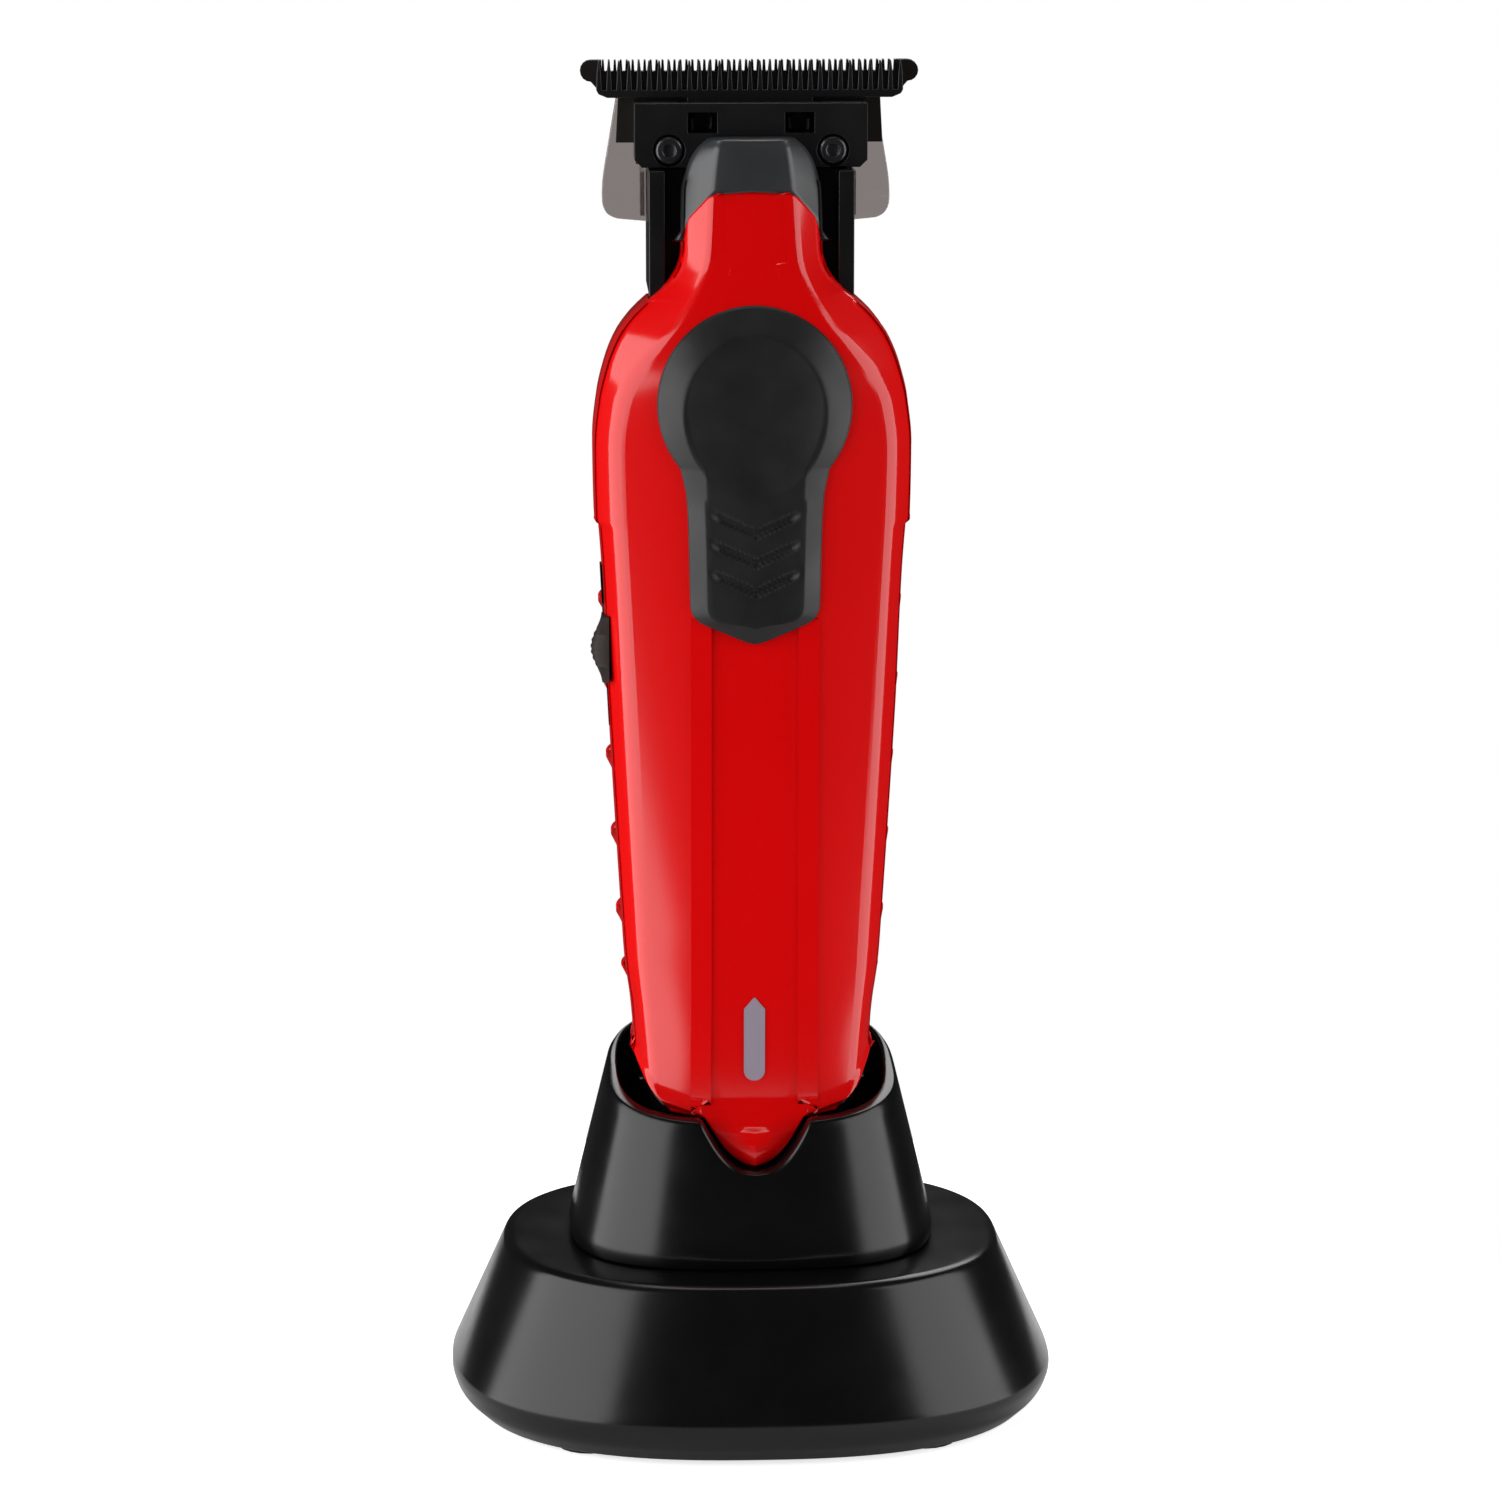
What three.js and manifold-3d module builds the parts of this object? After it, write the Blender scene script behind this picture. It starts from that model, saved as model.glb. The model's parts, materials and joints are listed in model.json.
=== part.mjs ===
// Cordless T-blade hair clipper standing in its charging stand.
// Millimetres, +Z up, front of the clipper towards -Y, origin under the middle of the stand.
import * as THREE from 'three';
import { mergeVertices } from 'three/addons/utils/BufferGeometryUtils.js';
import Module from 'manifold-3d';

const wasm = await Module();
wasm.setup();

// ---------- clearances and walls ----------
const GAP = 0.3;
const FAR = 120;
const BODY_WALL = 2.0;
const STAND_WALL = 2.2;

// ---------- stand ----------
const BASE_HALF_X = 42.4;
const BASE_HALF_Y = 35.0;
const BASE_WIDEST_Z = 5.4;
const BASE_LIP_Z = 0.8;
const TIER_HALF_X = 34.0;
const TIER_HALF_Y = 28.0;
const TIER_TOP_Z = 24.4;
const BASE_EXPONENT = 2.5;
const TOWER_EXPONENT = 2.8;
const CUP_EXPONENT = 3.2;
const FOOT_RADIUS = 5.0;
const FOOT_HEIGHT = 1.1;
const FOOT_X = 23.0;
const FOOT_Y = 21.0;
const BOTTOM_PLATE_THICK = 2.0;
const BALLAST_HALF_X = 22.0;
const BALLAST_HALF_Y = 15.0;
const BALLAST_THICK = 4.0;
const BASE_SCREW_X = 28.5;
const BASE_SCREW_Y = 12.5;
const BASE_SCREW_LENGTH = 10.0;
const BOSS_RADIUS = 3.2;
const TOWER_FOOT_HALF_X = 25.6;
const TOWER_FOOT_HALF_Y = 21.6;
const TOWER_RIM_HALF_X = 20.2;
const TOWER_RIM_HALF_Y = 17.2;
const RIM_MID_Z = TIER_TOP_Z + 22.9;
const RIM_SLOPE = 0.2175;
const CUP_RIM_HALF_X = 18.5;
const CUP_RIM_HALF_Y = 15.2;
const CUP_FLOOR_HALF_X = 15.9;
const CUP_FLOOR_HALF_Y = 13.3;
const CUP_FLOOR_Z = TIER_TOP_Z + 3.6;
const STAND_PCB_HALF_X = 12.0;
const STAND_PCB_THICK = 1.6;
const HOLDER_HALF_X = 9.0;
const HOLDER_HALF_Y = 3.0;
const PIN_X = 6.0;
const PIN_Y = 2.0;
const PIN_RADIUS = 1.2;
const PIN_PROUD = 1.0;
const PIN_FLANGE_RADIUS = 1.9;
const INLET_HALF_X = 4.5;
const INLET_HEIGHT = 3.4;
const INLET_DEPTH = 6.5;
const INLET_WALL = 0.4;

// ---------- clipper body, in a frame of its own that the stand then lifts ----------
const BODY_BOTTOM_Z = 28.3;
const CLIPPER_LIFT = CUP_FLOOR_Z + GAP - BODY_BOTTOM_Z;
const SHELL_BOTTOM_Z = BODY_BOTTOM_Z + 3.0;
const HOUSING_TOP_Z = 156.5;
const DECK_THICK = 3.0;
const SEAM_Y = 1.0;
const FRONT_BOW = 0.5;
const BACK_EXPONENT = 2.6;
const SECTION_POINTS = 24;
const HALF_POINTS = SECTION_POINTS / 2;
const SEAM_POINT = 6;
// stations up the body: height, half width, half width of the flat front, front y, back y, facet depth
const STATIONS = [
  { z: BODY_BOTTOM_Z, w: 15.2, f: 9.0, front: -12.0, back: 11.8, facet: 6.5 },
  { z: 46.0, w: 16.4, f: 12.6, front: -13.0, back: 12.6, facet: 6.5 },
  { z: 75.0, w: 18.25, f: 15.7, front: -14.2, back: 14.1, facet: 6.5 },
  { z: 100.0, w: 19.65, f: 16.9, front: -15.0, back: 15.2, facet: 6.5 },
  { z: 124.0, w: 20.85, f: 18.2, front: -15.6, back: 15.9, facet: 6.5 },
  { z: 126.5, w: 21.5, f: 18.5, front: -15.6, back: 15.95, facet: 6.5 },
  { z: 137.0, w: 21.6, f: 18.7, front: -15.7, back: 16.0, facet: 6.5 },
  { z: 143.2, w: 21.1, f: 17.6, front: -15.5, back: 15.8, facet: 6.5 },
  { z: 148.0, w: 20.0, f: 14.4, front: -15.0, back: 15.2, facet: 7.0 },
  { z: 151.5, w: 18.7, f: 10.9, front: -14.4, back: 14.6, facet: 7.5 },
  { z: 154.3, w: 17.0, f: 8.3, front: -13.6, back: 13.9, facet: 7.5 },
  { z: HOUSING_TOP_Z, w: 15.4, f: 7.0, front: -12.9, back: 13.2, facet: 7.0 },
  { z: 158.0, w: 13.4, f: 6.4, front: -12.4, back: 12.6, facet: 6.5 },
  { z: 159.5, w: 11.0, f: 6.0, front: -11.9, back: 12.0, facet: 6.0 },
  { z: 161.0, w: 10.0, f: 5.6, front: -11.4, back: 11.5, facet: 5.5 },
  { z: 163.0, w: 9.6, f: 5.3, front: -10.9, back: 11.0, facet: 5.5 },
  { z: 171.0, w: 9.4, f: 5.2, front: -9.4, back: 9.5, facet: 5.0 },
  { z: 175.0, w: 8.8, f: 5.0, front: -8.8, back: 9.0, facet: 4.0 },
  { z: 177.3, w: 7.4, f: 4.9, front: -8.4, back: 8.6, facet: 3.0 },
  { z: 178.2, w: 6.3, f: 4.7, front: -8.0, back: 8.2, facet: 2.4 },
];
const RIB_FIRST_Z = 59.4;
const RIB_PITCH = 11.0;
const RIB_COUNT = 6;
const RIB_HEIGHT = 1.2;
const RIB_PROUD = 0.5;
const RIB_BACK_Y = 9.5;
const LID_TOP_Z = 170.9;
const LID_TOP_HALF = 5.4;
const LID_SHOULDER_Z = 162.0;
const LID_SHOULDER_HALF = 10.2;
const CHIN_TOP_Z = 51.0;
const CHIN_TIP_Z = 38.2;
const CHIN_HALF = 6.8;
const CHIN_FRONT_Y = -15.8;
const CHANNEL_HALF = 6.2;
const CHANNEL_DEPTH = 0.9;
const CHANNEL_END_Z = 43.5;
const PAD_HEAD_Z = 143.4;
const PAD_HEAD_RADIUS = 13.1;
const PAD_TAIL_HALF = 8.74;
const PAD_WAIST_HALF = 9.04;
const PAD_WAIST_Z = 128.2;
const PAD_TAIL_Z = 114.5;
const PAD_TIP_Z = 111.1;
const PAD_PROUD = 1.3;
const PAD_SUNK = 0.8;
const DISH_DEPTH = 1.3;
const LED_HALF = 1.44;
const LED_TOP_Z = 61.3;
const LED_BOTTOM_Z = 49.4;

// ---------- power switch ----------
const SLIDER_Y = -8.0;
const SLIDER_Z = 109.3;
const SLIDER_TRAVEL = 4.5;
const SLIDER_PEAK_X = -22.1;
const SLIDER_BASE_X = -20.85;
const SLIDER_HALF_Z = 4.3;
const STEM_HALF = 1.0;
const BEZEL_HALF_Y = 3.2;
const BEZEL_LOW_Z = 98.2;
const BEZEL_HIGH_Z = 120.6;
const BEZEL_DEPTH = 1.0;
const SWITCH_OUTER_X = -15.6;

// ---------- screws of the end cap ----------
const CAP_SCREW_X = 8.0;
const CAP_SCREW_Z = 36.0;
const CAP_SCREW_SEAT_Y = 10.1;

// ---------- inside ----------
const PLATE_FRONT_Y = -7.8;
const PLATE_THICK = 1.4;
const PLATE_HALF_X = 11.0;
const SHELF_THICK = 2.0;
const BATTERY_RADIUS = 7.0;
const BATTERY_LENGTH = 50.0;
const BATTERY_Y = 3.0;
const BATTERY_LOW_Z = 44.0;
const TAB_THICK = 0.4;
const PCB_THICK = 1.6;
const PCB_HALF_X = 9.5;
const PCB_LOW_Z = 46.0;
const PCB_HIGH_Z = 118.0;
const MOTOR_Y = 4.0;
const MOTOR_RADIUS = 9.25;
const MOTOR_LENGTH = 28.0;
const MOTOR_TOP_Z = 147.0;
const MOTOR_WALL = 1.0;
const MAGNET_THICK = 1.0;
const AIR_GAP = 1.35;
const SHAFT_RADIUS = 1.0;
const SHAFT_TOP_Z = 163.0;
const END_CAP_THICK = 3.2;

// ---------- head and drive ----------
const FRAME_HALF_X = 13.85;
const FRAME_FRONT_Y = -1.5;
const FRAME_BACK_Y = 12.5;
const FRAME_TOP_Z = 173.7;
const FRAME_WALL = 1.6;
const PILLAR_THICK = 2.15;
const PILLAR_FRONT_Y = -5.5;
const WEB_TOP_Z = 181.0;
const WEB_THICK = 3.0;
const ECCENTRIC_RADIUS = 3.6;
const ECCENTRIC_LOW_Z = 159.5;
const ECCENTRIC_THICK = 5.0;
const THROW = 1.0;
const CRANK_PIN_RADIUS = 0.8;
const CRANK_PIN_LENGTH = 6.0;
const CUTTER_TRAVEL = 1.0;
const YOKE_LOW_Z = 166.5;
const YOKE_THICK = 3.0;
const YOKE_RIM = 1.5;
const FIXED_BLADE_FRONT_Y = 2.0;
const FIXED_BLADE_THICK = 1.6;
const FIXED_TIP_HALF = 22.9;
const FIXED_TAB_LOW_Z = 185.1;
const BLADE_TOP_Z = 188.0;
const FIXED_SHOULDER_HALF = 17.7;
const FIXED_SHOULDER_Z = 176.9;
const FIXED_TEETH = 52;
const FIXED_SLOT_Z = 186.5;
const CUTTER_HALF = 20.75;
const CUTTER_LOW_Z = 183.05;
const CUTTER_THICK = 1.4;
const CUTTER_TEETH = 31;
const CUTTER_SLOT_Z = 184.1;
const CUTTER_TAIL_HALF = 8.5;
const CUTTER_TAIL_Z = 177.0;
const TONGUE_HALF = 3.0;
const TONGUE_TOP_Z = 179.7;
const BRACKET_HALF = 15.7;
const BRACKET_TOP_Z = 182.6;
const BRACKET_FRONT_Y = -3.6;
const BRACKET_PLATE = 2.5;
const SPRING_WIRE = 0.4;
const SPRING_INNER_X = 5.2;
const SPRING_OUTER_X = 7.9;
const BLADE_SCREW_X = 11.05;
const BLADE_SCREW_Z = 176.3;
const SCREW_HEAD_RADIUS = 1.9;
const SCREW_SHANK_RADIUS = 1.0;

// ---------- blade guard ----------
const GUARD_THICK = 1.4;
const GUARD_WIDEST = 19.86;
const GUARD_WIDEST_Z = 169.5;
const GUARD_TOP_HALF = 17.9;
const GUARD_TOP_Z = 182.0;
const GUARD_LOW_HALF = 15.0;
const GUARD_LOW_Z = 165.1;
const CLIP_REACH = 7.0;

// ---------- sizes that follow from the ones above ----------
const BOTTOM_PLATE_Z = FOOT_HEIGHT + 0.2;
const BALLAST_Z = BOTTOM_PLATE_Z + BOTTOM_PLATE_THICK + GAP;
const STAND_PCB_Z = BALLAST_Z + BALLAST_THICK + GAP;
const STAND_PCB_TOP = STAND_PCB_Z + STAND_PCB_THICK;
const INLET_Z = STAND_PCB_TOP + GAP;
const TOWER_Z = TIER_TOP_Z + GAP;
const CUTTER_BACK_Y = FIXED_BLADE_FRONT_Y - GAP;
const CUTTER_FRONT_Y = CUTTER_BACK_Y - CUTTER_THICK;
const BRACKET_LOW_Z = FRAME_TOP_Z + GAP;
const BRACKET_PLATE_BACK = BRACKET_FRONT_Y + BRACKET_PLATE;
const WEB_FRONT_Y = FIXED_BLADE_FRONT_Y + FIXED_BLADE_THICK + GAP;
const FRAME_LOW_Z = HOUSING_TOP_Z + GAP;
const MOTOR_LOW_Z = MOTOR_TOP_Z - MOTOR_LENGTH;
const END_CAP_Z = MOTOR_LOW_Z - GAP - END_CAP_THICK;
const PLATE_BACK_Y = PLATE_FRONT_Y + PLATE_THICK;
const PCB_FRONT_Y = PLATE_FRONT_Y - 0.5 - PCB_THICK;
const SLOT_HALF_X = CRANK_PIN_RADIUS + THROW + CUTTER_TRAVEL + 0.15;
const SLOT_HALF_Y = CRANK_PIN_RADIUS + THROW + 0.15;
const ARMATURE_RADIUS = MOTOR_RADIUS - MOTOR_WALL - GAP - MAGNET_THICK - AIR_GAP;
const CONTACT_LOW_Z = BODY_BOTTOM_Z + PIN_PROUD;
const CONTACT_RADIUS = PIN_RADIUS + 1.1;
const BATTERY_HIGH_Z = BATTERY_LOW_Z + BATTERY_LENGTH;

// ---------- geometry helpers ----------

// Turns a geometry into a solid, flipping it when it is inside out.
function solid(geometry) {
  let bare = geometry.clone();
  bare.deleteAttribute('normal');
  bare.deleteAttribute('uv');
  bare = mergeVertices(bare, 1e-4);
  const vertProperties = new Float32Array(bare.attributes.position.array);
  const corners = Array.from(bare.index.array);
  const triVerts = new Uint32Array(signedVolume(vertProperties, corners) < 0 ? corners.reverse() : corners);
  return new wasm.Manifold(new wasm.Mesh({ numProp: 3, vertProperties, triVerts }));
}

function signedVolume(points, corners) {
  const at = (i) => new THREE.Vector3().fromArray(points, corners[i] * 3);
  let sum = 0;
  for (let i = 0; i < corners.length; i += 3) {
    sum += at(i).dot(at(i + 1).cross(at(i + 2)));
  }
  return sum;
}

function cut(body, ...tools) {
  return tools.reduce((left, tool) => left.subtract(tool), body);
}

function join(body, ...others) {
  return others.reduce((left, other) => left.add(other), body);
}

function box(x0, x1, y0, y1, z0, z1) {
  const geometry = new THREE.BoxGeometry(x1 - x0, y1 - y0, z1 - z0);
  geometry.translate((x0 + x1) / 2, (y0 + y1) / 2, (z0 + z1) / 2);
  return solid(geometry);
}

function tube(radius, x, y, z0, z1, sides = 16) {
  const geometry = new THREE.CylinderGeometry(radius, radius, z1 - z0, sides);
  geometry.rotateX(Math.PI / 2);
  geometry.translate(x, y, (z0 + z1) / 2);
  return solid(geometry);
}

function tubeAlongY(radius, x, z, y0, y1, sides = 16) {
  const geometry = new THREE.CylinderGeometry(radius, radius, y1 - y0, sides);
  geometry.translate(x, (y0 + y1) / 2, z);
  return solid(geometry);
}

// A plate whose outline is seen from the front, between two y values.
function frontPlate(shape, y0, y1, curveSegments = 10) {
  const geometry = new THREE.ExtrudeGeometry(shape, { depth: y1 - y0, bevelEnabled: false, curveSegments });
  geometry.rotateX(Math.PI / 2);
  geometry.translate(0, y1, 0);
  return solid(geometry);
}

// A plate whose outline is seen from the right, between two x values.
function sidePlate(shape, x0, x1) {
  const geometry = new THREE.ExtrudeGeometry(shape, { depth: x1 - x0, bevelEnabled: false });
  const turn = new THREE.Matrix4().makeBasis(
    new THREE.Vector3(0, 1, 0), new THREE.Vector3(0, 0, 1), new THREE.Vector3(1, 0, 0));
  geometry.applyMatrix4(turn);
  geometry.translate(x0, 0, 0);
  return solid(geometry);
}

// A plate whose outline is seen from above, between two heights.
function flatPlate(shape, z0, z1, curveSegments = 8) {
  const geometry = new THREE.ExtrudeGeometry(shape, { depth: z1 - z0, bevelEnabled: false, curveSegments });
  geometry.translate(0, 0, z0);
  return solid(geometry);
}

function polygon(points) {
  return new THREE.Shape(points.map(([x, y]) => new THREE.Vector2(x, y)));
}

function roundedRect(halfX, halfY, radius) {
  const shape = new THREE.Shape();
  shape.moveTo(-halfX + radius, -halfY);
  shape.lineTo(halfX - radius, -halfY);
  shape.absarc(halfX - radius, -halfY + radius, radius, -Math.PI / 2, 0);
  shape.lineTo(halfX, halfY - radius);
  shape.absarc(halfX - radius, halfY - radius, radius, 0, Math.PI / 2);
  shape.lineTo(-halfX + radius, halfY);
  shape.absarc(-halfX + radius, halfY - radius, radius, Math.PI / 2, Math.PI);
  shape.lineTo(-halfX, -halfY + radius);
  shape.absarc(-halfX + radius, -halfY + radius, radius, Math.PI, Math.PI * 1.5);
  return shape;
}

// A solid turned about a vertical axis at (x, y); the profile is [radius, height] pairs.
function turned(profile, x, y, sides = 16) {
  const geometry = new THREE.LatheGeometry(profile.map(([r, z]) => new THREE.Vector2(r, z)), sides);
  geometry.rotateX(Math.PI / 2);
  geometry.translate(x, y, 0);
  return solid(geometry);
}

// The same about an axis along y at (x, z); the profile is [radius, y] pairs.
function turnedAlongY(profile, x, z, sides = 16) {
  const geometry = new THREE.LatheGeometry(profile.map(([r, y]) => new THREE.Vector2(r, y)), sides);
  geometry.translate(x, 0, z);
  return solid(geometry);
}

// Stacks closed sections: sectionAt(index, height) gives [x, y], counted from the front to the right.
function loft(sectionAt, heights, count) {
  const rows = heights.length - 1;
  const geometry = new THREE.CylinderGeometry(1, 1, 1, count, rows);
  const position = geometry.attributes.position;
  for (let i = 0; i < position.count; i += 1) {
    const across = position.getX(i);
    const ahead = position.getZ(i);
    const height = heights[Math.round((position.getY(i) + 0.5) * rows)];
    const turn = Math.atan2(across, ahead) / (2 * Math.PI);
    const index = (Math.round(turn * count) + count) % count;
    const onWall = Math.hypot(across, ahead) > 0.5;
    const [x, y] = onWall ? sectionAt(index, height) : [0, 0];
    position.setXYZ(i, x, y, height);
  }
  return solid(geometry);
}

function power(value, exponent) {
  return Math.sign(value) * Math.abs(value) ** exponent;
}

function blendRows(rows, z) {
  const next = Math.max(1, rows.findIndex((row) => row.z >= z));
  const low = rows[next - 1];
  const high = rows[next];
  const share = (z - low.z) / (high.z - low.z);
  const row = {};
  for (const key of Object.keys(low)) {
    row[key] = THREE.MathUtils.lerp(low[key], high[key], share);
  }
  return row;
}

// ---------- body surfaces ----------

// One corner of the body's section, moved outward by grow.
function bodyPoint(index, z, grow) {
  const row = blendRows(STATIONS, Math.min(z, STATIONS.at(-1).z));
  const step = index <= HALF_POINTS ? index : SECTION_POINTS - index;
  const side = index <= HALF_POINTS ? 1 : -1;
  const w = row.w + grow;
  const f = row.f + grow * 0.6;
  const front = row.front - grow;
  const [x, y] = step <= SEAM_POINT
    ? frontPoint(step, w, f, front, row.facet)
    : backPoint(step, w, row.back + grow);
  return [side * x, y];
}

function frontPoint(step, w, f, front, facet) {
  return [
    [0, front - FRONT_BOW],
    [f / 2, front - FRONT_BOW * 0.75],
    [f, front],
    [f + (w - f) * 0.62, front + facet * 0.45],
    [w - 0.25, front + facet],
    [w, front + facet + 1.5],
    [w, SEAM_Y],
  ][step];
}

function backPoint(step, w, back) {
  const angle = ((step - SEAM_POINT) / (HALF_POINTS - SEAM_POINT)) * (Math.PI / 2);
  const x = w * power(Math.cos(angle), 2 / BACK_EXPONENT);
  const y = SEAM_Y + (back - SEAM_Y) * power(Math.sin(angle), 2 / BACK_EXPONENT);
  return [step === HALF_POINTS ? 0 : x, y];
}

function bodyLoft(grow, z0, z1) {
  const between = STATIONS.map((row) => row.z).filter((z) => z > z0 + 0.4 && z < z1 - 0.4);
  return loft((index, z) => bodyPoint(index, z, grow), [z0, ...between, z1], SECTION_POINTS);
}

function lidOutline(grow) {
  const shape = new THREE.Shape();
  const top = LID_TOP_Z + grow;
  const half = LID_TOP_HALF + grow;
  const shoulder = LID_SHOULDER_HALF + grow;
  shape.moveTo(-FAR, 0);
  shape.lineTo(FAR, 0);
  shape.lineTo(FAR, LID_SHOULDER_Z);
  shape.lineTo(shoulder, LID_SHOULDER_Z);
  shape.bezierCurveTo(shoulder - 0.5, LID_SHOULDER_Z + 4, half + 3, top - 1.2, half, top);
  shape.quadraticCurveTo(0, top + 0.8, -half, top);
  shape.bezierCurveTo(-half - 3, top - 1.2, -shoulder + 0.5, LID_SHOULDER_Z + 4, -shoulder, LID_SHOULDER_Z);
  shape.lineTo(-FAR, LID_SHOULDER_Z);
  return shape;
}

function padOutline(grow) {
  const shape = new THREE.Shape();
  const radius = PAD_HEAD_RADIUS + grow;
  const start = -0.72;
  const joinX = radius * Math.cos(start);
  const joinZ = PAD_HEAD_Z + radius * Math.sin(start);
  shape.moveTo(-PAD_TAIL_HALF - grow, PAD_TAIL_Z - grow / 2);
  shape.lineTo(0, PAD_TIP_Z - grow);
  shape.lineTo(PAD_TAIL_HALF + grow, PAD_TAIL_Z - grow / 2);
  shape.lineTo(PAD_WAIST_HALF + grow, PAD_WAIST_Z);
  shape.quadraticCurveTo(PAD_WAIST_HALF + grow, PAD_WAIST_Z + 3.5, joinX, joinZ);
  shape.absarc(0, PAD_HEAD_Z, radius, start, Math.PI - start, false);
  shape.quadraticCurveTo(-PAD_WAIST_HALF - grow, PAD_WAIST_Z + 3.5, -PAD_WAIST_HALF - grow, PAD_WAIST_Z);
  return shape;
}

function ledOutline(grow) {
  const half = LED_HALF + grow;
  return polygon([
    [-half, LED_BOTTOM_Z + 1.4], [-half / 2, LED_BOTTOM_Z - grow], [half / 2, LED_BOTTOM_Z - grow],
    [half, LED_BOTTOM_Z + 1.4], [half, LED_TOP_Z - 1.6], [0, LED_TOP_Z + grow], [-half, LED_TOP_Z - 1.6],
  ]);
}

function chinOutline(grow) {
  const half = CHIN_HALF + grow;
  return polygon([
    [-half - grow, CHIN_TOP_Z], [-half, CHIN_TOP_Z - 5], [-half * 0.8, CHIN_TIP_Z + 4.2 - grow / 2],
    [-half * 0.42, CHIN_TIP_Z + 1 - grow], [0, CHIN_TIP_Z - grow], [half * 0.42, CHIN_TIP_Z + 1 - grow],
    [half * 0.8, CHIN_TIP_Z + 4.2 - grow / 2], [half, CHIN_TOP_Z - 5], [half + grow, CHIN_TOP_Z],
  ]);
}

// The space inside an outline between two copies of the body surface, front side only.
function frontInlay(outline, outerGrow, innerGrow, z0, z1) {
  const shell = bodyLoft(outerGrow, z0, z1).subtract(bodyLoft(innerGrow, z0 - 1, z1 + 1));
  return shell.intersect(frontPlate(outline, -FAR, PLATE_FRONT_Y));
}

// ---------- stand ----------

function standSection(index, count, halfX, halfY, exponent) {
  const angle = (index / count) * 2 * Math.PI;
  const x = halfX * power(Math.sin(angle), 2 / exponent);
  const y = -halfY * power(Math.cos(angle), 2 / exponent);
  return [Math.abs(x) < 1e-6 ? 0 : x, Math.abs(y) < 1e-6 ? 0 : y];
}

function standLoft(rows, exponent = BASE_EXPONENT, count = 40) {
  const section = (index, z) => {
    const row = rows.find((candidate) => candidate.z === z);
    return standSection(index, count, row.x, row.y, exponent);
  };
  return loft(section, rows.map((row) => row.z), count);
}

function baseRows(inset, z0, z1) {
  return [
    { z: z0, x: BASE_HALF_X - 3.4 - inset, y: BASE_HALF_Y - 3.2 - inset },
    { z: BASE_WIDEST_Z - 2.2, x: BASE_HALF_X - 0.9 - inset, y: BASE_HALF_Y - 0.8 - inset },
    { z: BASE_WIDEST_Z, x: BASE_HALF_X - inset, y: BASE_HALF_Y - inset },
    { z: BASE_WIDEST_Z + 2.2, x: BASE_HALF_X - 0.6 - inset, y: BASE_HALF_Y - 0.5 - inset },
    { z: z1 - 0.8, x: TIER_HALF_X + 0.3 - inset, y: TIER_HALF_Y + 0.2 - inset },
    { z: z1, x: TIER_HALF_X - 0.5 - inset, y: TIER_HALF_Y - 0.5 - inset },
  ];
}

function baseScrewSpots() {
  return [[-1, -1], [1, -1], [-1, 1], [1, 1]].map(([sx, sy]) => [sx * BASE_SCREW_X, sy * BASE_SCREW_Y]);
}

function baseShell() {
  const roof = TIER_TOP_Z - STAND_WALL;
  const outer = standLoft(baseRows(0, BASE_LIP_Z, TIER_TOP_Z));
  const hollow = standLoft([
    { z: BASE_LIP_Z - 1, x: BASE_HALF_X - 4.6, y: BASE_HALF_Y - 4.4 },
    { z: BASE_WIDEST_Z, x: BASE_HALF_X - STAND_WALL, y: BASE_HALF_Y - STAND_WALL },
    { z: roof, x: TIER_HALF_X - 1.4, y: TIER_HALF_Y - 1.4 },
  ]);
  const bossLow = BOTTOM_PLATE_Z + BOTTOM_PLATE_THICK + GAP;
  const bosses = baseScrewSpots().map(([x, y]) => tube(BOSS_RADIUS, x, y, bossLow, roof + 1));
  const holes = baseScrewSpots().map(([x, y]) => tube(1.5, x, y, bossLow - 1, bossLow + BASE_SCREW_LENGTH));
  const holderHole = box(-HOLDER_HALF_X - GAP, HOLDER_HALF_X + GAP, PIN_Y - HOLDER_HALF_Y - GAP,
    PIN_Y + HOLDER_HALF_Y + GAP, roof - 1, TIER_TOP_Z + 1);
  const inletHole = box(-INLET_HALF_X - GAP, INLET_HALF_X + GAP, 20, FAR,
    INLET_Z - GAP, INLET_Z + INLET_HEIGHT + GAP);
  return cut(join(cut(outer, hollow), ...bosses), ...holes, holderHole, inletHole);
}

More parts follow.
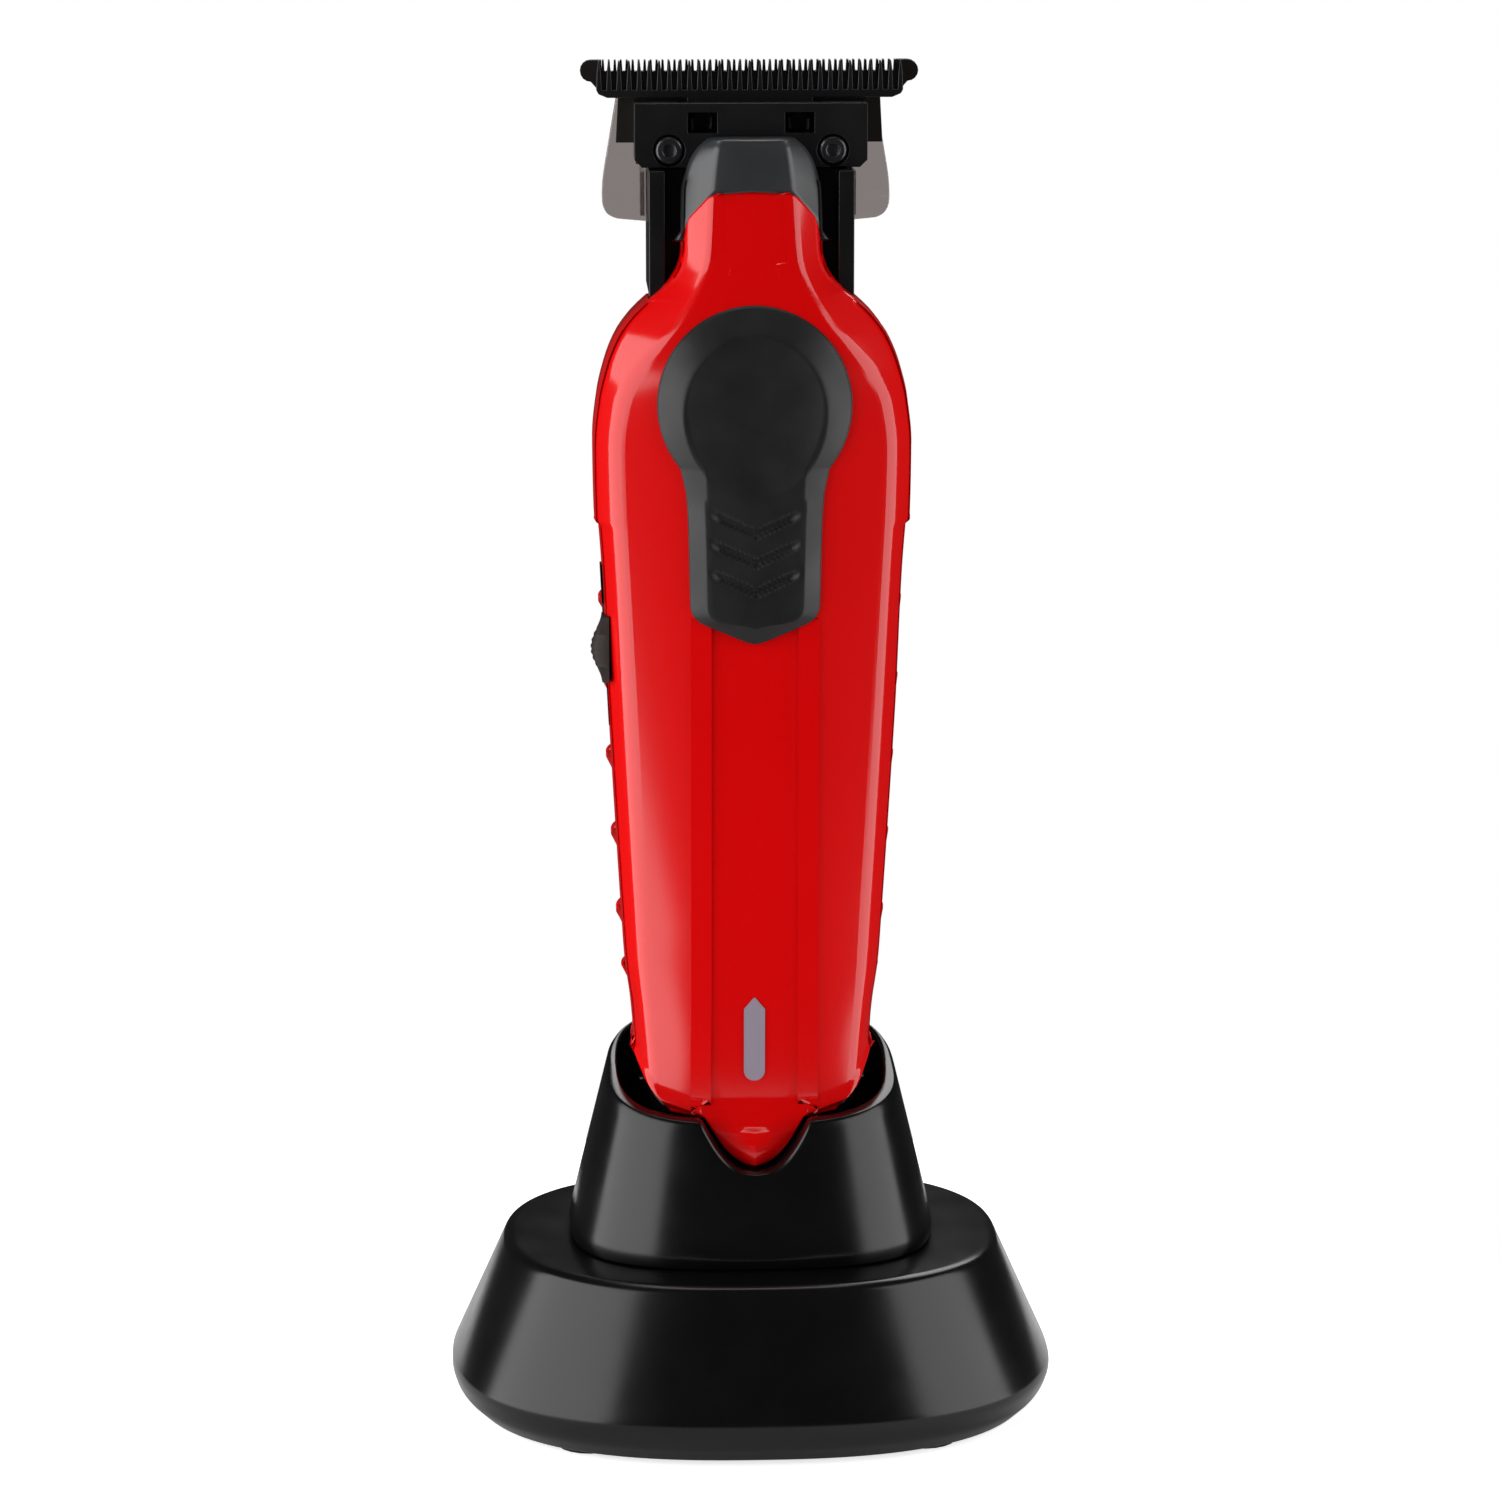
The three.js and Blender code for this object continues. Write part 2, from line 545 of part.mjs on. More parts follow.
function cradleTower() {
  const rimTop = RIM_MID_Z + 6;
  const outer = standLoft([
    { z: TOWER_Z, x: TOWER_FOOT_HALF_X + 0.5, y: TOWER_FOOT_HALF_Y + 0.5 },
    { z: TOWER_Z + 2, x: TOWER_FOOT_HALF_X - 0.2, y: TOWER_FOOT_HALF_Y - 0.2 },
    { z: TOWER_Z + 8, x: TOWER_FOOT_HALF_X - 2.0, y: TOWER_FOOT_HALF_Y - 1.9 },
    { z: RIM_MID_Z, x: TOWER_RIM_HALF_X, y: TOWER_RIM_HALF_Y },
    { z: rimTop, x: TOWER_RIM_HALF_X - 1.0, y: TOWER_RIM_HALF_Y - 0.8 },
  ], TOWER_EXPONENT);
  const cup = standLoft([
    { z: CUP_FLOOR_Z, x: CUP_FLOOR_HALF_X, y: CUP_FLOOR_HALF_Y },
    { z: CUP_FLOOR_Z + 12, x: CUP_FLOOR_HALF_X + 1.3, y: CUP_FLOOR_HALF_Y + 1.0 },
    { z: RIM_MID_Z, x: CUP_RIM_HALF_X, y: CUP_RIM_HALF_Y },
    { z: rimTop + 1, x: CUP_RIM_HALF_X, y: CUP_RIM_HALF_Y },
  ], CUP_EXPONENT);
  const slantTop = sidePlate(polygon([
    [-FAR, RIM_MID_Z - RIM_SLOPE * FAR], [FAR, RIM_MID_Z + RIM_SLOPE * FAR], [FAR, FAR], [-FAR, FAR],
  ]), -FAR, FAR);
  const notch = frontPlate(chinOutline(0.5), -FAR, -8).translate(0, 0, CLIPPER_LIFT);
  const holderPocket = box(-HOLDER_HALF_X - GAP, HOLDER_HALF_X + GAP, PIN_Y - HOLDER_HALF_Y - GAP,
    PIN_Y + HOLDER_HALF_Y + GAP, TOWER_Z - 1, CUP_FLOOR_Z - 1.5);
  const pinHoles = [-PIN_X, PIN_X].map((x) => tube(PIN_RADIUS + GAP, x, PIN_Y, TOWER_Z, CUP_FLOOR_Z + 1));
  return cut(outer, cup, slantTop, notch, holderPocket, ...pinHoles);
}

function bottomPlate() {
  const top = BOTTOM_PLATE_Z + BOTTOM_PLATE_THICK;
  const plate = standLoft([
    { z: BOTTOM_PLATE_Z, x: BASE_HALF_X - 5.0, y: BASE_HALF_Y - 4.8 },
    { z: top, x: BASE_HALF_X - 4.2, y: BASE_HALF_Y - 4.0 },
  ]);
  const holes = baseScrewSpots().flatMap(([x, y]) => [
    tube(1.5, x, y, 0, top + 1),
    tube(2.9, x, y, 0, BOTTOM_PLATE_Z + 1.2),
  ]);
  return cut(plate, ...holes);
}

function baseScrew([x, y]) {
  const head = BOTTOM_PLATE_Z + 0.2;
  return turned([
    [0, head + 0.5], [0.8, head + 0.5], [0.8, head], [2.6, head], [2.6, head + 0.9], [1.2, head + 0.9],
    [1.2, head + BASE_SCREW_LENGTH - 1], [0, head + BASE_SCREW_LENGTH],
  ], x, y, 12);
}

function foot(x, y) {
  return turned([
    [0, 0], [FOOT_RADIUS - 0.4, 0], [FOOT_RADIUS, 0.4], [FOOT_RADIUS, FOOT_HEIGHT], [0, FOOT_HEIGHT],
  ], x, y, 20);
}

function ballastPlate() {
  return flatPlate(roundedRect(BALLAST_HALF_X, BALLAST_HALF_Y, 3), BALLAST_Z, BALLAST_Z + BALLAST_THICK, 4);
}

function standPcb() {
  return box(-STAND_PCB_HALF_X, STAND_PCB_HALF_X, -8, BASE_HALF_Y - 7.5, STAND_PCB_Z, STAND_PCB_TOP);
}

function pinHolder() {
  const block = box(-HOLDER_HALF_X, HOLDER_HALF_X, PIN_Y - HOLDER_HALF_Y, PIN_Y + HOLDER_HALF_Y,
    STAND_PCB_TOP + GAP, CUP_FLOOR_Z - 1.8);
  const bores = [-PIN_X, PIN_X].flatMap((x) => [
    tube(PIN_RADIUS + GAP, x, PIN_Y, STAND_PCB_TOP, CUP_FLOOR_Z),
    tube(PIN_FLANGE_RADIUS + GAP, x, PIN_Y, STAND_PCB_TOP, CUP_FLOOR_Z - 5),
  ]);
  return cut(block, ...bores);
}

function contactPin(x) {
  const flangeTop = CUP_FLOOR_Z - 5 - GAP;
  return turned([
    [0, STAND_PCB_TOP + 2], [PIN_FLANGE_RADIUS, STAND_PCB_TOP + 2], [PIN_FLANGE_RADIUS, flangeTop],
    [PIN_RADIUS, flangeTop], [PIN_RADIUS, CUP_FLOOR_Z + PIN_PROUD - 0.4],
    [PIN_RADIUS - 0.4, CUP_FLOOR_Z + PIN_PROUD], [0, CUP_FLOOR_Z + PIN_PROUD],
  ], x, PIN_Y, 12);
}

function powerInlet() {
  const back = BASE_HALF_Y - 1.9;
  const middle = INLET_Z + INLET_HEIGHT / 2;
  const place = (shape, y0, y1) => frontPlate(shape, y0, y1, 4).translate(0, 0, middle);
  const halfZ = INLET_HEIGHT / 2;
  const can = place(roundedRect(INLET_HALF_X, halfZ, halfZ - 0.01), back - INLET_DEPTH, back);
  const mouth = place(roundedRect(INLET_HALF_X - INLET_WALL, halfZ - INLET_WALL, halfZ - INLET_WALL - 0.01),
    back - INLET_DEPTH + 1, back + 1);
  const tongue = place(roundedRect(INLET_HALF_X - 1.3, 0.35, 0.3), back - INLET_DEPTH + 0.5, back - 0.8);
  return join(cut(can, mouth), tongue);
}

// ---------- clipper shells ----------

function hollowBody(z1) {
  return bodyLoft(-BODY_WALL, BODY_BOTTOM_Z - 4, z1);
}

function frontLid() {
  const topZ = STATIONS.at(-1).z;
  const chinSide = sidePlate(polygon([
    [-11.5, CHIN_TOP_Z], [-12.8, CHIN_TOP_Z], [CHIN_FRONT_Y, CHIN_TIP_Z + 4],
    [CHIN_FRONT_Y + 0.4, 30], [-11.5, 30],
  ]), -FAR, FAR);
  const chin = chinSide.intersect(frontPlate(chinOutline(0), -FAR, 0));
  const outer = join(bodyLoft(0, SHELL_BOTTOM_Z, topZ), chin);
  const shell = outer.intersect(frontPlate(lidOutline(0), -FAR, SEAM_Y - GAP / 2));
  const channel = frontPlate(polygon([
    [-CHANNEL_HALF, PAD_TAIL_Z], [-CHANNEL_HALF, CHANNEL_END_Z + 3], [0, CHANNEL_END_Z],
    [CHANNEL_HALF, CHANNEL_END_Z + 3], [CHANNEL_HALF, PAD_TAIL_Z],
  ]), -FAR, PLATE_FRONT_Y).subtract(bodyLoft(-CHANNEL_DEPTH, SHELL_BOTTOM_Z - 2, topZ));
  const padPocket = frontPlate(padOutline(GAP), -FAR, PLATE_FRONT_Y, 8)
    .subtract(bodyLoft(-PAD_SUNK - GAP, SHELL_BOTTOM_Z - 2, topZ));
  const ledHole = frontPlate(ledOutline(0.25), -FAR, PLATE_FRONT_Y);
  const headRoom = box(-FAR, FAR, FRAME_FRONT_Y - GAP, FAR, HOUSING_TOP_Z, FAR * 2);
  const pillarRoom = [-1, 1].map((side) => box(
    Math.min(side * 11.3, side * FAR), Math.max(side * 11.3, side * FAR),
    PILLAR_FRONT_Y - GAP, FAR, HOUSING_TOP_Z, FAR * 2));
  return cut(shell, hollowBody(topZ - 1.5), channel, padPocket, ledHole, headRoom, ...pillarRoom,
    bezelBlock(GAP, 1, BEZEL_DEPTH + GAP), stemSlot());
}

function rearHousing() {
  const back = (z0, z1) => box(-FAR, FAR, SEAM_Y + GAP / 2, FAR, z0, z1);
  const shell = bodyLoft(0, SHELL_BOTTOM_Z, HOUSING_TOP_Z);
  const ribBars = Array.from({ length: RIB_COUNT }, (_, i) => {
    const z = RIB_FIRST_Z + i * RIB_PITCH;
    return bodyLoft(RIB_PROUD, z - RIB_HEIGHT / 2, z + RIB_HEIGHT / 2)
      .subtract(box(-FAR, FAR, RIB_BACK_Y, FAR, z - RIB_PITCH, z + RIB_PITCH));
  });
  const whole = join(shell, ...ribBars).intersect(back(SHELL_BOTTOM_Z, HOUSING_TOP_Z));
  const motorHole = tube(5, 0, MOTOR_Y, HOUSING_TOP_Z - DECK_THICK - 1, HOUSING_TOP_Z + 1, 20);
  const screwHoles = [-CAP_SCREW_X, CAP_SCREW_X].flatMap((x) => [
    tubeAlongY(1.3, x, CAP_SCREW_Z, 5, FAR),
    tubeAlongY(2.1, x, CAP_SCREW_Z, CAP_SCREW_SEAT_Y, FAR),
  ]);
  return cut(whole, hollowBody(HOUSING_TOP_Z - DECK_THICK), motorHole, ...screwHoles);
}

function bottomCap() {
  const cover = bodyLoft(0, BODY_BOTTOM_Z, SHELL_BOTTOM_Z - GAP);
  const posts = [-1, 1].map((side) => box(
    side * CAP_SCREW_X - 3, side * CAP_SCREW_X + 3, 3, 12, SHELL_BOTTOM_Z - 1, BATTERY_LOW_Z - 3.5));
  const plug = bodyLoft(-BODY_WALL - GAP, SHELL_BOTTOM_Z - 1, SHELL_BOTTOM_Z + 2);
  const inside = bodyLoft(-BODY_WALL - GAP, SHELL_BOTTOM_Z - 2, 42);
  const held = posts.map((post) => post.intersect(inside));
  const screwHoles = [-CAP_SCREW_X, CAP_SCREW_X].map((x) => tubeAlongY(1.3, x, CAP_SCREW_Z, 4.5, FAR));
  const wells = [-PIN_X, PIN_X].map((x) => tube(CONTACT_RADIUS + GAP, x, PIN_Y, 0, SHELL_BOTTOM_Z + 3));
  return cut(join(cover, plug, ...held), ...screwHoles, ...wells);
}

function capScrew(x) {
  const top = CAP_SCREW_SEAT_Y + GAP;
  return turnedAlongY([
    [0, 5], [1, 5.4], [1, top], [1.8, top], [1.8, top + 0.7],
    [0.7, top + 0.7], [0.7, top + 0.3], [0, top + 0.3],
  ], x, CAP_SCREW_Z, 12);
}

function chargeContact(x) {
  return turned([
    [0, CONTACT_LOW_Z], [CONTACT_RADIUS, CONTACT_LOW_Z],
    [CONTACT_RADIUS, CONTACT_LOW_Z + 2], [0, CONTACT_LOW_Z + 2],
  ], x, PIN_Y, 14);
}

function noseCollar() {
  const topZ = STATIONS.at(-1).z;
  const outer = bodyLoft(0, HOUSING_TOP_Z, topZ);
  const hollow = bodyLoft(-BODY_WALL, HOUSING_TOP_Z - 1, topZ - 1.6);
  const front = box(-FAR, FAR, -FAR, FRAME_FRONT_Y - GAP, LID_SHOULDER_Z, FRAME_TOP_Z)
    .add(box(-FAR, FAR, -FAR, BRACKET_FRONT_Y - GAP, LID_SHOULDER_Z, FAR * 2));
  return cut(outer, hollow, frontPlate(lidOutline(GAP), -FAR, FAR)).intersect(front);
}

function thumbRest() {
  const pad = frontInlay(padOutline(0), PAD_PROUD, -PAD_SUNK, PAD_TIP_Z - 5, PAD_HEAD_Z + 18);
  const front = blendRows(STATIONS, PAD_HEAD_Z).front - PAD_PROUD;
  const bowl = new THREE.SphereGeometry(1, 20, 12);
  bowl.scale(11.6, 3.2, 12.2);
  bowl.translate(0, front + DISH_DEPTH - 3.2, PAD_HEAD_Z - 1.2);
  const grooves = [126.8, 122.7, 118.6].map((z) => frontPlate(polygon([
    [-6, z + 2.6], [0, z - 0.6], [6, z + 2.6], [6, z + 3.5], [0, z + 0.3], [-6, z + 3.5],
  ]), -FAR, front + 0.4));
  return cut(pad, solid(bowl), ...grooves);
}

function ledWindow() {
  return frontInlay(ledOutline(0), 0.15 - CHANNEL_DEPTH, -BODY_WALL - GAP, LED_BOTTOM_Z - 3, LED_TOP_Z + 3);
}

// ---------- power switch ----------

function bezelBlock(grow, proud, depth) {
  const low = BEZEL_LOW_Z - grow;
  const high = BEZEL_HIGH_Z + grow;
  const skin = bodyLoft(proud, low, high).subtract(bodyLoft(-depth, low - 1, high + 1));
  const halfY = BEZEL_HALF_Y + grow;
  return skin.intersect(box(-FAR, 0, SLIDER_Y - halfY, SLIDER_Y + halfY, low, high));
}

function stemSlot() {
  const play = STEM_HALF + 0.4;
  return box(-FAR, -12, SLIDER_Y - play, SLIDER_Y + play, SLIDER_Z - play, SLIDER_Z + play + SLIDER_TRAVEL);
}

function sliderBezel() {
  return cut(bezelBlock(0, 0.1, BEZEL_DEPTH), stemSlot());
}

function powerSlider() {
  const bump = new THREE.SphereGeometry(1, 16, 12);
  bump.scale(2.6, 2.9, SLIDER_HALF_Z + 0.9);
  bump.translate(SLIDER_PEAK_X + 2.6, SLIDER_Y, SLIDER_Z);
  const knob = solid(bump).intersect(box(-FAR, SLIDER_BASE_X, -FAR, FAR, 0, FAR * 2));
  const stem = box(SLIDER_BASE_X - 0.4, -16.4, SLIDER_Y - STEM_HALF, SLIDER_Y + STEM_HALF,
    SLIDER_Z - STEM_HALF, SLIDER_Z + STEM_HALF);
  return join(knob, stem);
}

function switchBlock(grow) {
  return box(SWITCH_OUTER_X - grow, -PCB_HALF_X - 0.4 + grow, SLIDER_Y - 3 - grow, SLIDER_Y + 2.5 + grow,
    SLIDER_Z - 4.5 - grow, SLIDER_Z + 9 + grow);
}

function switchBody() {
  const body = switchBlock(0);
  const track = box(SWITCH_OUTER_X - 1, SWITCH_OUTER_X + 1.2, SLIDER_Y - 1.2, SLIDER_Y + 1.2,
    SLIDER_Z - 3, SLIDER_Z + 7.5);
  return cut(body, track);
}

// ---------- inside of the clipper ----------

function shelf(z) {
  const room = box(-FAR, FAR, PLATE_FRONT_Y, FAR, z, z + SHELF_THICK);
  return bodyLoft(-BODY_WALL - GAP, z - 1, z + SHELF_THICK + 1).intersect(room);
}

function innerChassis() {
  const topShelf = MOTOR_TOP_Z + GAP;
  const lowShelf = END_CAP_Z - GAP - SHELF_THICK;
  const plate = box(-PLATE_HALF_X, PLATE_HALF_X, PLATE_FRONT_Y, PLATE_BACK_Y,
    BATTERY_LOW_Z - 3, topShelf + SHELF_THICK);
  const shelves = [BATTERY_LOW_Z - 3, BATTERY_HIGH_Z + 1, lowShelf, topShelf].map(shelf);
  const shaftHole = tube(3.5, 0, MOTOR_Y, topShelf - 1, topShelf + SHELF_THICK + 1);
  const sweep = SLIDER_Z + STEM_HALF + SLIDER_TRAVEL + GAP;
  const stemRoom = box(-FAR, -PCB_HALF_X, -FAR, SLIDER_Y + STEM_HALF + 1, SLIDER_Z, sweep);
  return cut(join(plate, ...shelves), shaftHole, switchBlock(GAP), stemRoom);
}

function batteryCell() {
  return turned([
    [0, BATTERY_LOW_Z], [BATTERY_RADIUS - 0.5, BATTERY_LOW_Z], [BATTERY_RADIUS, BATTERY_LOW_Z + 0.5],
    [BATTERY_RADIUS, BATTERY_HIGH_Z - 1.4], [BATTERY_RADIUS - 0.6, BATTERY_HIGH_Z - 0.8],
    [2.6, BATTERY_HIGH_Z - 0.8], [2.6, BATTERY_HIGH_Z], [0, BATTERY_HIGH_Z],
  ], 0, BATTERY_Y, 24);
}

function batteryTab(z) {
  return box(-2, 2, PLATE_BACK_Y + GAP, BATTERY_Y + 3, z, z + TAB_THICK);
}

function mainPcb() {
  return box(-PCB_HALF_X, PCB_HALF_X, PCB_FRONT_Y, PCB_FRONT_Y + PCB_THICK, PCB_LOW_Z, PCB_HIGH_Z);
}

function ledChip() {
  return box(-1.2, 1.2, PCB_FRONT_Y - 0.9, PCB_FRONT_Y - 0.1, 54, 57);
}

function motorCan() {
  const inner = MOTOR_RADIUS - MOTOR_WALL;
  return turned([
    [inner, MOTOR_LOW_Z], [MOTOR_RADIUS, MOTOR_LOW_Z], [MOTOR_RADIUS, MOTOR_TOP_Z - 0.8],
    [MOTOR_RADIUS - 0.8, MOTOR_TOP_Z], [SHAFT_RADIUS + GAP, MOTOR_TOP_Z],
    [SHAFT_RADIUS + GAP, MOTOR_TOP_Z - 1.2],
    [inner, MOTOR_TOP_Z - 1.2], [inner, MOTOR_LOW_Z],
  ], 0, MOTOR_Y, 24);
}

function motorMagnet() {
  const outer = MOTOR_RADIUS - MOTOR_WALL - GAP;
  const low = MOTOR_LOW_Z + 4;
  const high = MOTOR_TOP_Z - 4;
  return turned([
    [outer - MAGNET_THICK, low], [outer, low], [outer, high],
    [outer - MAGNET_THICK, high], [outer - MAGNET_THICK, low],
  ], 0, MOTOR_Y, 20);
}

function motorEndCap() {
  const top = END_CAP_Z + END_CAP_THICK;
  return turned([
    [0, END_CAP_Z], [MOTOR_RADIUS, END_CAP_Z], [MOTOR_RADIUS, top], [2.5, top], [SHAFT_RADIUS + GAP, top],
    [SHAFT_RADIUS + GAP, END_CAP_Z + 1], [0, END_CAP_Z + 1],
  ], 0, MOTOR_Y, 24);
}

function rotor() {
  const low = MOTOR_LOW_Z + 4;
  const high = MOTOR_TOP_Z - 4;
  return turned([
    [0, END_CAP_Z + 1.4], [SHAFT_RADIUS, END_CAP_Z + 1.4], [SHAFT_RADIUS, low], [ARMATURE_RADIUS, low],
    [ARMATURE_RADIUS, high], [SHAFT_RADIUS, high], [SHAFT_RADIUS, SHAFT_TOP_Z], [0, SHAFT_TOP_Z],
  ], 0, MOTOR_Y, 20);
}

function eccentric() {
  const top = ECCENTRIC_LOW_Z + ECCENTRIC_THICK;
  const disc = tube(ECCENTRIC_RADIUS, 0, MOTOR_Y, ECCENTRIC_LOW_Z, top, 20);
  const bore = tube(SHAFT_RADIUS + 0.2, 0, MOTOR_Y, ECCENTRIC_LOW_Z - 1, SHAFT_TOP_Z + 0.3);
  const pin = tube(CRANK_PIN_RADIUS, 0, MOTOR_Y - THROW, top - 0.5, top + CRANK_PIN_LENGTH, 12);
  return join(cut(disc, bore), pin);
}

// ---------- head ----------

function headFrame() {
  const outer = box(-FRAME_HALF_X, FRAME_HALF_X, FRAME_FRONT_Y, FRAME_BACK_Y, FRAME_LOW_Z, FRAME_TOP_Z);
  const pillars = [-1, 1].map((side) => {
    const inner = side * (FRAME_HALF_X - PILLAR_THICK);
    const edge = side * FRAME_HALF_X;
    return box(Math.min(inner, edge), Math.max(inner, edge), PILLAR_FRONT_Y, FRAME_FRONT_Y + 1,
      FRAME_LOW_Z, FRAME_TOP_Z);
  });
  const web = box(-FRAME_HALF_X + 0.4, FRAME_HALF_X - 0.4, WEB_FRONT_Y, WEB_FRONT_Y + WEB_THICK,
    FRAME_TOP_Z - 1, WEB_TOP_Z);
  const roof = FRAME_TOP_Z - 2.5;
  const chamber = box(-FRAME_HALF_X + PILLAR_THICK, FRAME_HALF_X - PILLAR_THICK, FRAME_FRONT_Y + FRAME_WALL,
    FRAME_BACK_Y - FRAME_WALL, FRAME_LOW_Z - 1, roof);
  const throat = box(-6.5, 6.5, FRAME_FRONT_Y + FRAME_WALL, WEB_FRONT_Y - 0.6, roof - 1, FRAME_TOP_Z + 1);
  const holes = [-BLADE_SCREW_X, BLADE_SCREW_X].map((x) => (
    tubeAlongY(SCREW_SHANK_RADIUS + GAP, x, BLADE_SCREW_Z, 0, WEB_FRONT_Y + WEB_THICK + 1, 12)));
  return cut(join(outer, ...pillars, web), chamber, throat, ...holes);
}

// Teeth along the top edge: a list of [x, z] corners from right to left.
function teeth(half, count, root, tip, fill) {
  const pitch = (2 * half) / (count - 1 + fill);
  const corners = [];
  for (let i = 0; i < count; i += 1) {
    const right = half - i * pitch;
    const left = right - pitch * fill;
    const taper = pitch * fill * 0.22;
    corners.push([right, root], [right - taper, tip], [left + taper, tip], [left, root]);
  }
  corners[0] = [half, root - 0.01];
  corners[corners.length - 1] = [-half, root - 0.01];
  return corners;
}

function fixedBlade() {
  const tab = FIXED_TIP_HALF - 2.1;
  const row = teeth(tab, FIXED_TEETH, FIXED_SLOT_Z, BLADE_TOP_Z, 0.52);
  const outline = polygon([
    [-BRACKET_HALF + 0.3, BRACKET_LOW_Z], [BRACKET_HALF - 0.3, BRACKET_LOW_Z],
    [BRACKET_HALF - 0.3, FIXED_SHOULDER_Z], [FIXED_SHOULDER_HALF, FIXED_SHOULDER_Z],
    [FIXED_SHOULDER_HALF, FIXED_TAB_LOW_Z - 1.2],
    [tab, FIXED_TAB_LOW_Z - 1.2],
    ...row,
    [-tab, FIXED_TAB_LOW_Z - 1.2], [-FIXED_SHOULDER_HALF, FIXED_TAB_LOW_Z - 1.2],
    [-FIXED_SHOULDER_HALF, FIXED_SHOULDER_Z], [-BRACKET_HALF + 0.3, FIXED_SHOULDER_Z],
  ]);
  const back = FIXED_BLADE_FRONT_Y + FIXED_BLADE_THICK;
  const radius = (BLADE_TOP_Z - FIXED_TAB_LOW_Z) / 2;
  const ends = [-1, 1].flatMap((side) => {
    const centre = side * (FIXED_TIP_HALF - radius);
    const inner = side * (tab - 0.8);
    return [
      tubeAlongY(radius, centre, FIXED_TAB_LOW_Z + radius, FIXED_BLADE_FRONT_Y, back, 16),
      box(Math.min(inner, centre), Math.max(inner, centre), FIXED_BLADE_FRONT_Y, back,
        FIXED_TAB_LOW_Z - 1.2, BLADE_TOP_Z),
    ];
  });
  const holes = [-BLADE_SCREW_X, BLADE_SCREW_X].map((x) => (
    tubeAlongY(SCREW_SHANK_RADIUS + GAP, x, BLADE_SCREW_Z, 0, FAR, 12)));
  return cut(join(frontPlate(outline, FIXED_BLADE_FRONT_Y, back), ...ends), ...holes);
}

function movingCutter() {
  const corner = 1.5;
  const row = teeth(CUTTER_HALF, CUTTER_TEETH, CUTTER_SLOT_Z, BLADE_TOP_Z, 0.55);
  const outline = polygon([
    [-TONGUE_HALF - GAP, CUTTER_TAIL_Z], [-TONGUE_HALF - GAP, TONGUE_TOP_Z + GAP],
    [TONGUE_HALF + GAP, TONGUE_TOP_Z + GAP], [TONGUE_HALF + GAP, CUTTER_TAIL_Z],
    [CUTTER_TAIL_HALF, CUTTER_TAIL_Z], [CUTTER_TAIL_HALF, CUTTER_LOW_Z],
    [CUTTER_HALF - corner, CUTTER_LOW_Z], [CUTTER_HALF - 0.3, CUTTER_LOW_Z + 0.5],
    ...row,
    [-CUTTER_HALF + 0.3, CUTTER_LOW_Z + 0.5], [-CUTTER_HALF + corner, CUTTER_LOW_Z],
    [-CUTTER_TAIL_HALF, CUTTER_LOW_Z], [-CUTTER_TAIL_HALF, CUTTER_TAIL_Z],
  ]);
  return frontPlate(outline, CUTTER_FRONT_Y, CUTTER_BACK_Y);
}

function camFollower() {
  const halfX = SLOT_HALF_X + YOKE_RIM;
  const halfY = SLOT_HALF_Y + YOKE_RIM;
  const top = YOKE_LOW_Z + YOKE_THICK;
  const ring = box(-halfX, halfX, MOTOR_Y - halfY, MOTOR_Y + halfY, YOKE_LOW_Z, top);
  const slot = box(-SLOT_HALF_X, SLOT_HALF_X, MOTOR_Y - SLOT_HALF_Y, MOTOR_Y + SLOT_HALF_Y,
    YOKE_LOW_Z - 1, top + 1);
  const arm = box(-4, 4, CUTTER_FRONT_Y + 0.15, CUTTER_BACK_Y - 0.1, YOKE_LOW_Z, CUTTER_TAIL_Z - GAP);
  const tongue = box(-TONGUE_HALF, TONGUE_HALF, CUTTER_FRONT_Y + 0.15, CUTTER_BACK_Y - 0.1,
    YOKE_LOW_Z, TONGUE_TOP_Z);
  return cut(join(ring, arm, tongue), slot);
}

function tensionSpring() {
  const y = (BRACKET_PLATE_BACK + CUTTER_FRONT_Y) / 2;
  const top = 181.6;
  const low = 177.4;
  const knots = [
    [-SPRING_OUTER_X, low + 1.4], [-SPRING_OUTER_X, top - 1], [-(SPRING_OUTER_X + SPRING_INNER_X) / 2, top],
    [-SPRING_INNER_X, top - 1], [-SPRING_INNER_X, low + 1], [-SPRING_INNER_X + 1.2, low], [0, low - 0.2],
    [SPRING_INNER_X - 1.2, low], [SPRING_INNER_X, low + 1], [SPRING_INNER_X, top - 1],
    [(SPRING_OUTER_X + SPRING_INNER_X) / 2, top], [SPRING_OUTER_X, top - 1], [SPRING_OUTER_X, low + 1.4],
  ];
  const points = knots.map(([x, z]) => new THREE.Vector3(x, y, z));
  const path = new THREE.CatmullRomCurve3(points, false, 'centripetal');
  const wire = new THREE.Shape();
  wire.absarc(0, 0, SPRING_WIRE, 0, 2 * Math.PI);
  return solid(new THREE.ExtrudeGeometry(wire, {
    steps: 34, curveSegments: 3, extrudePath: path, bevelEnabled: false,
  }));
}

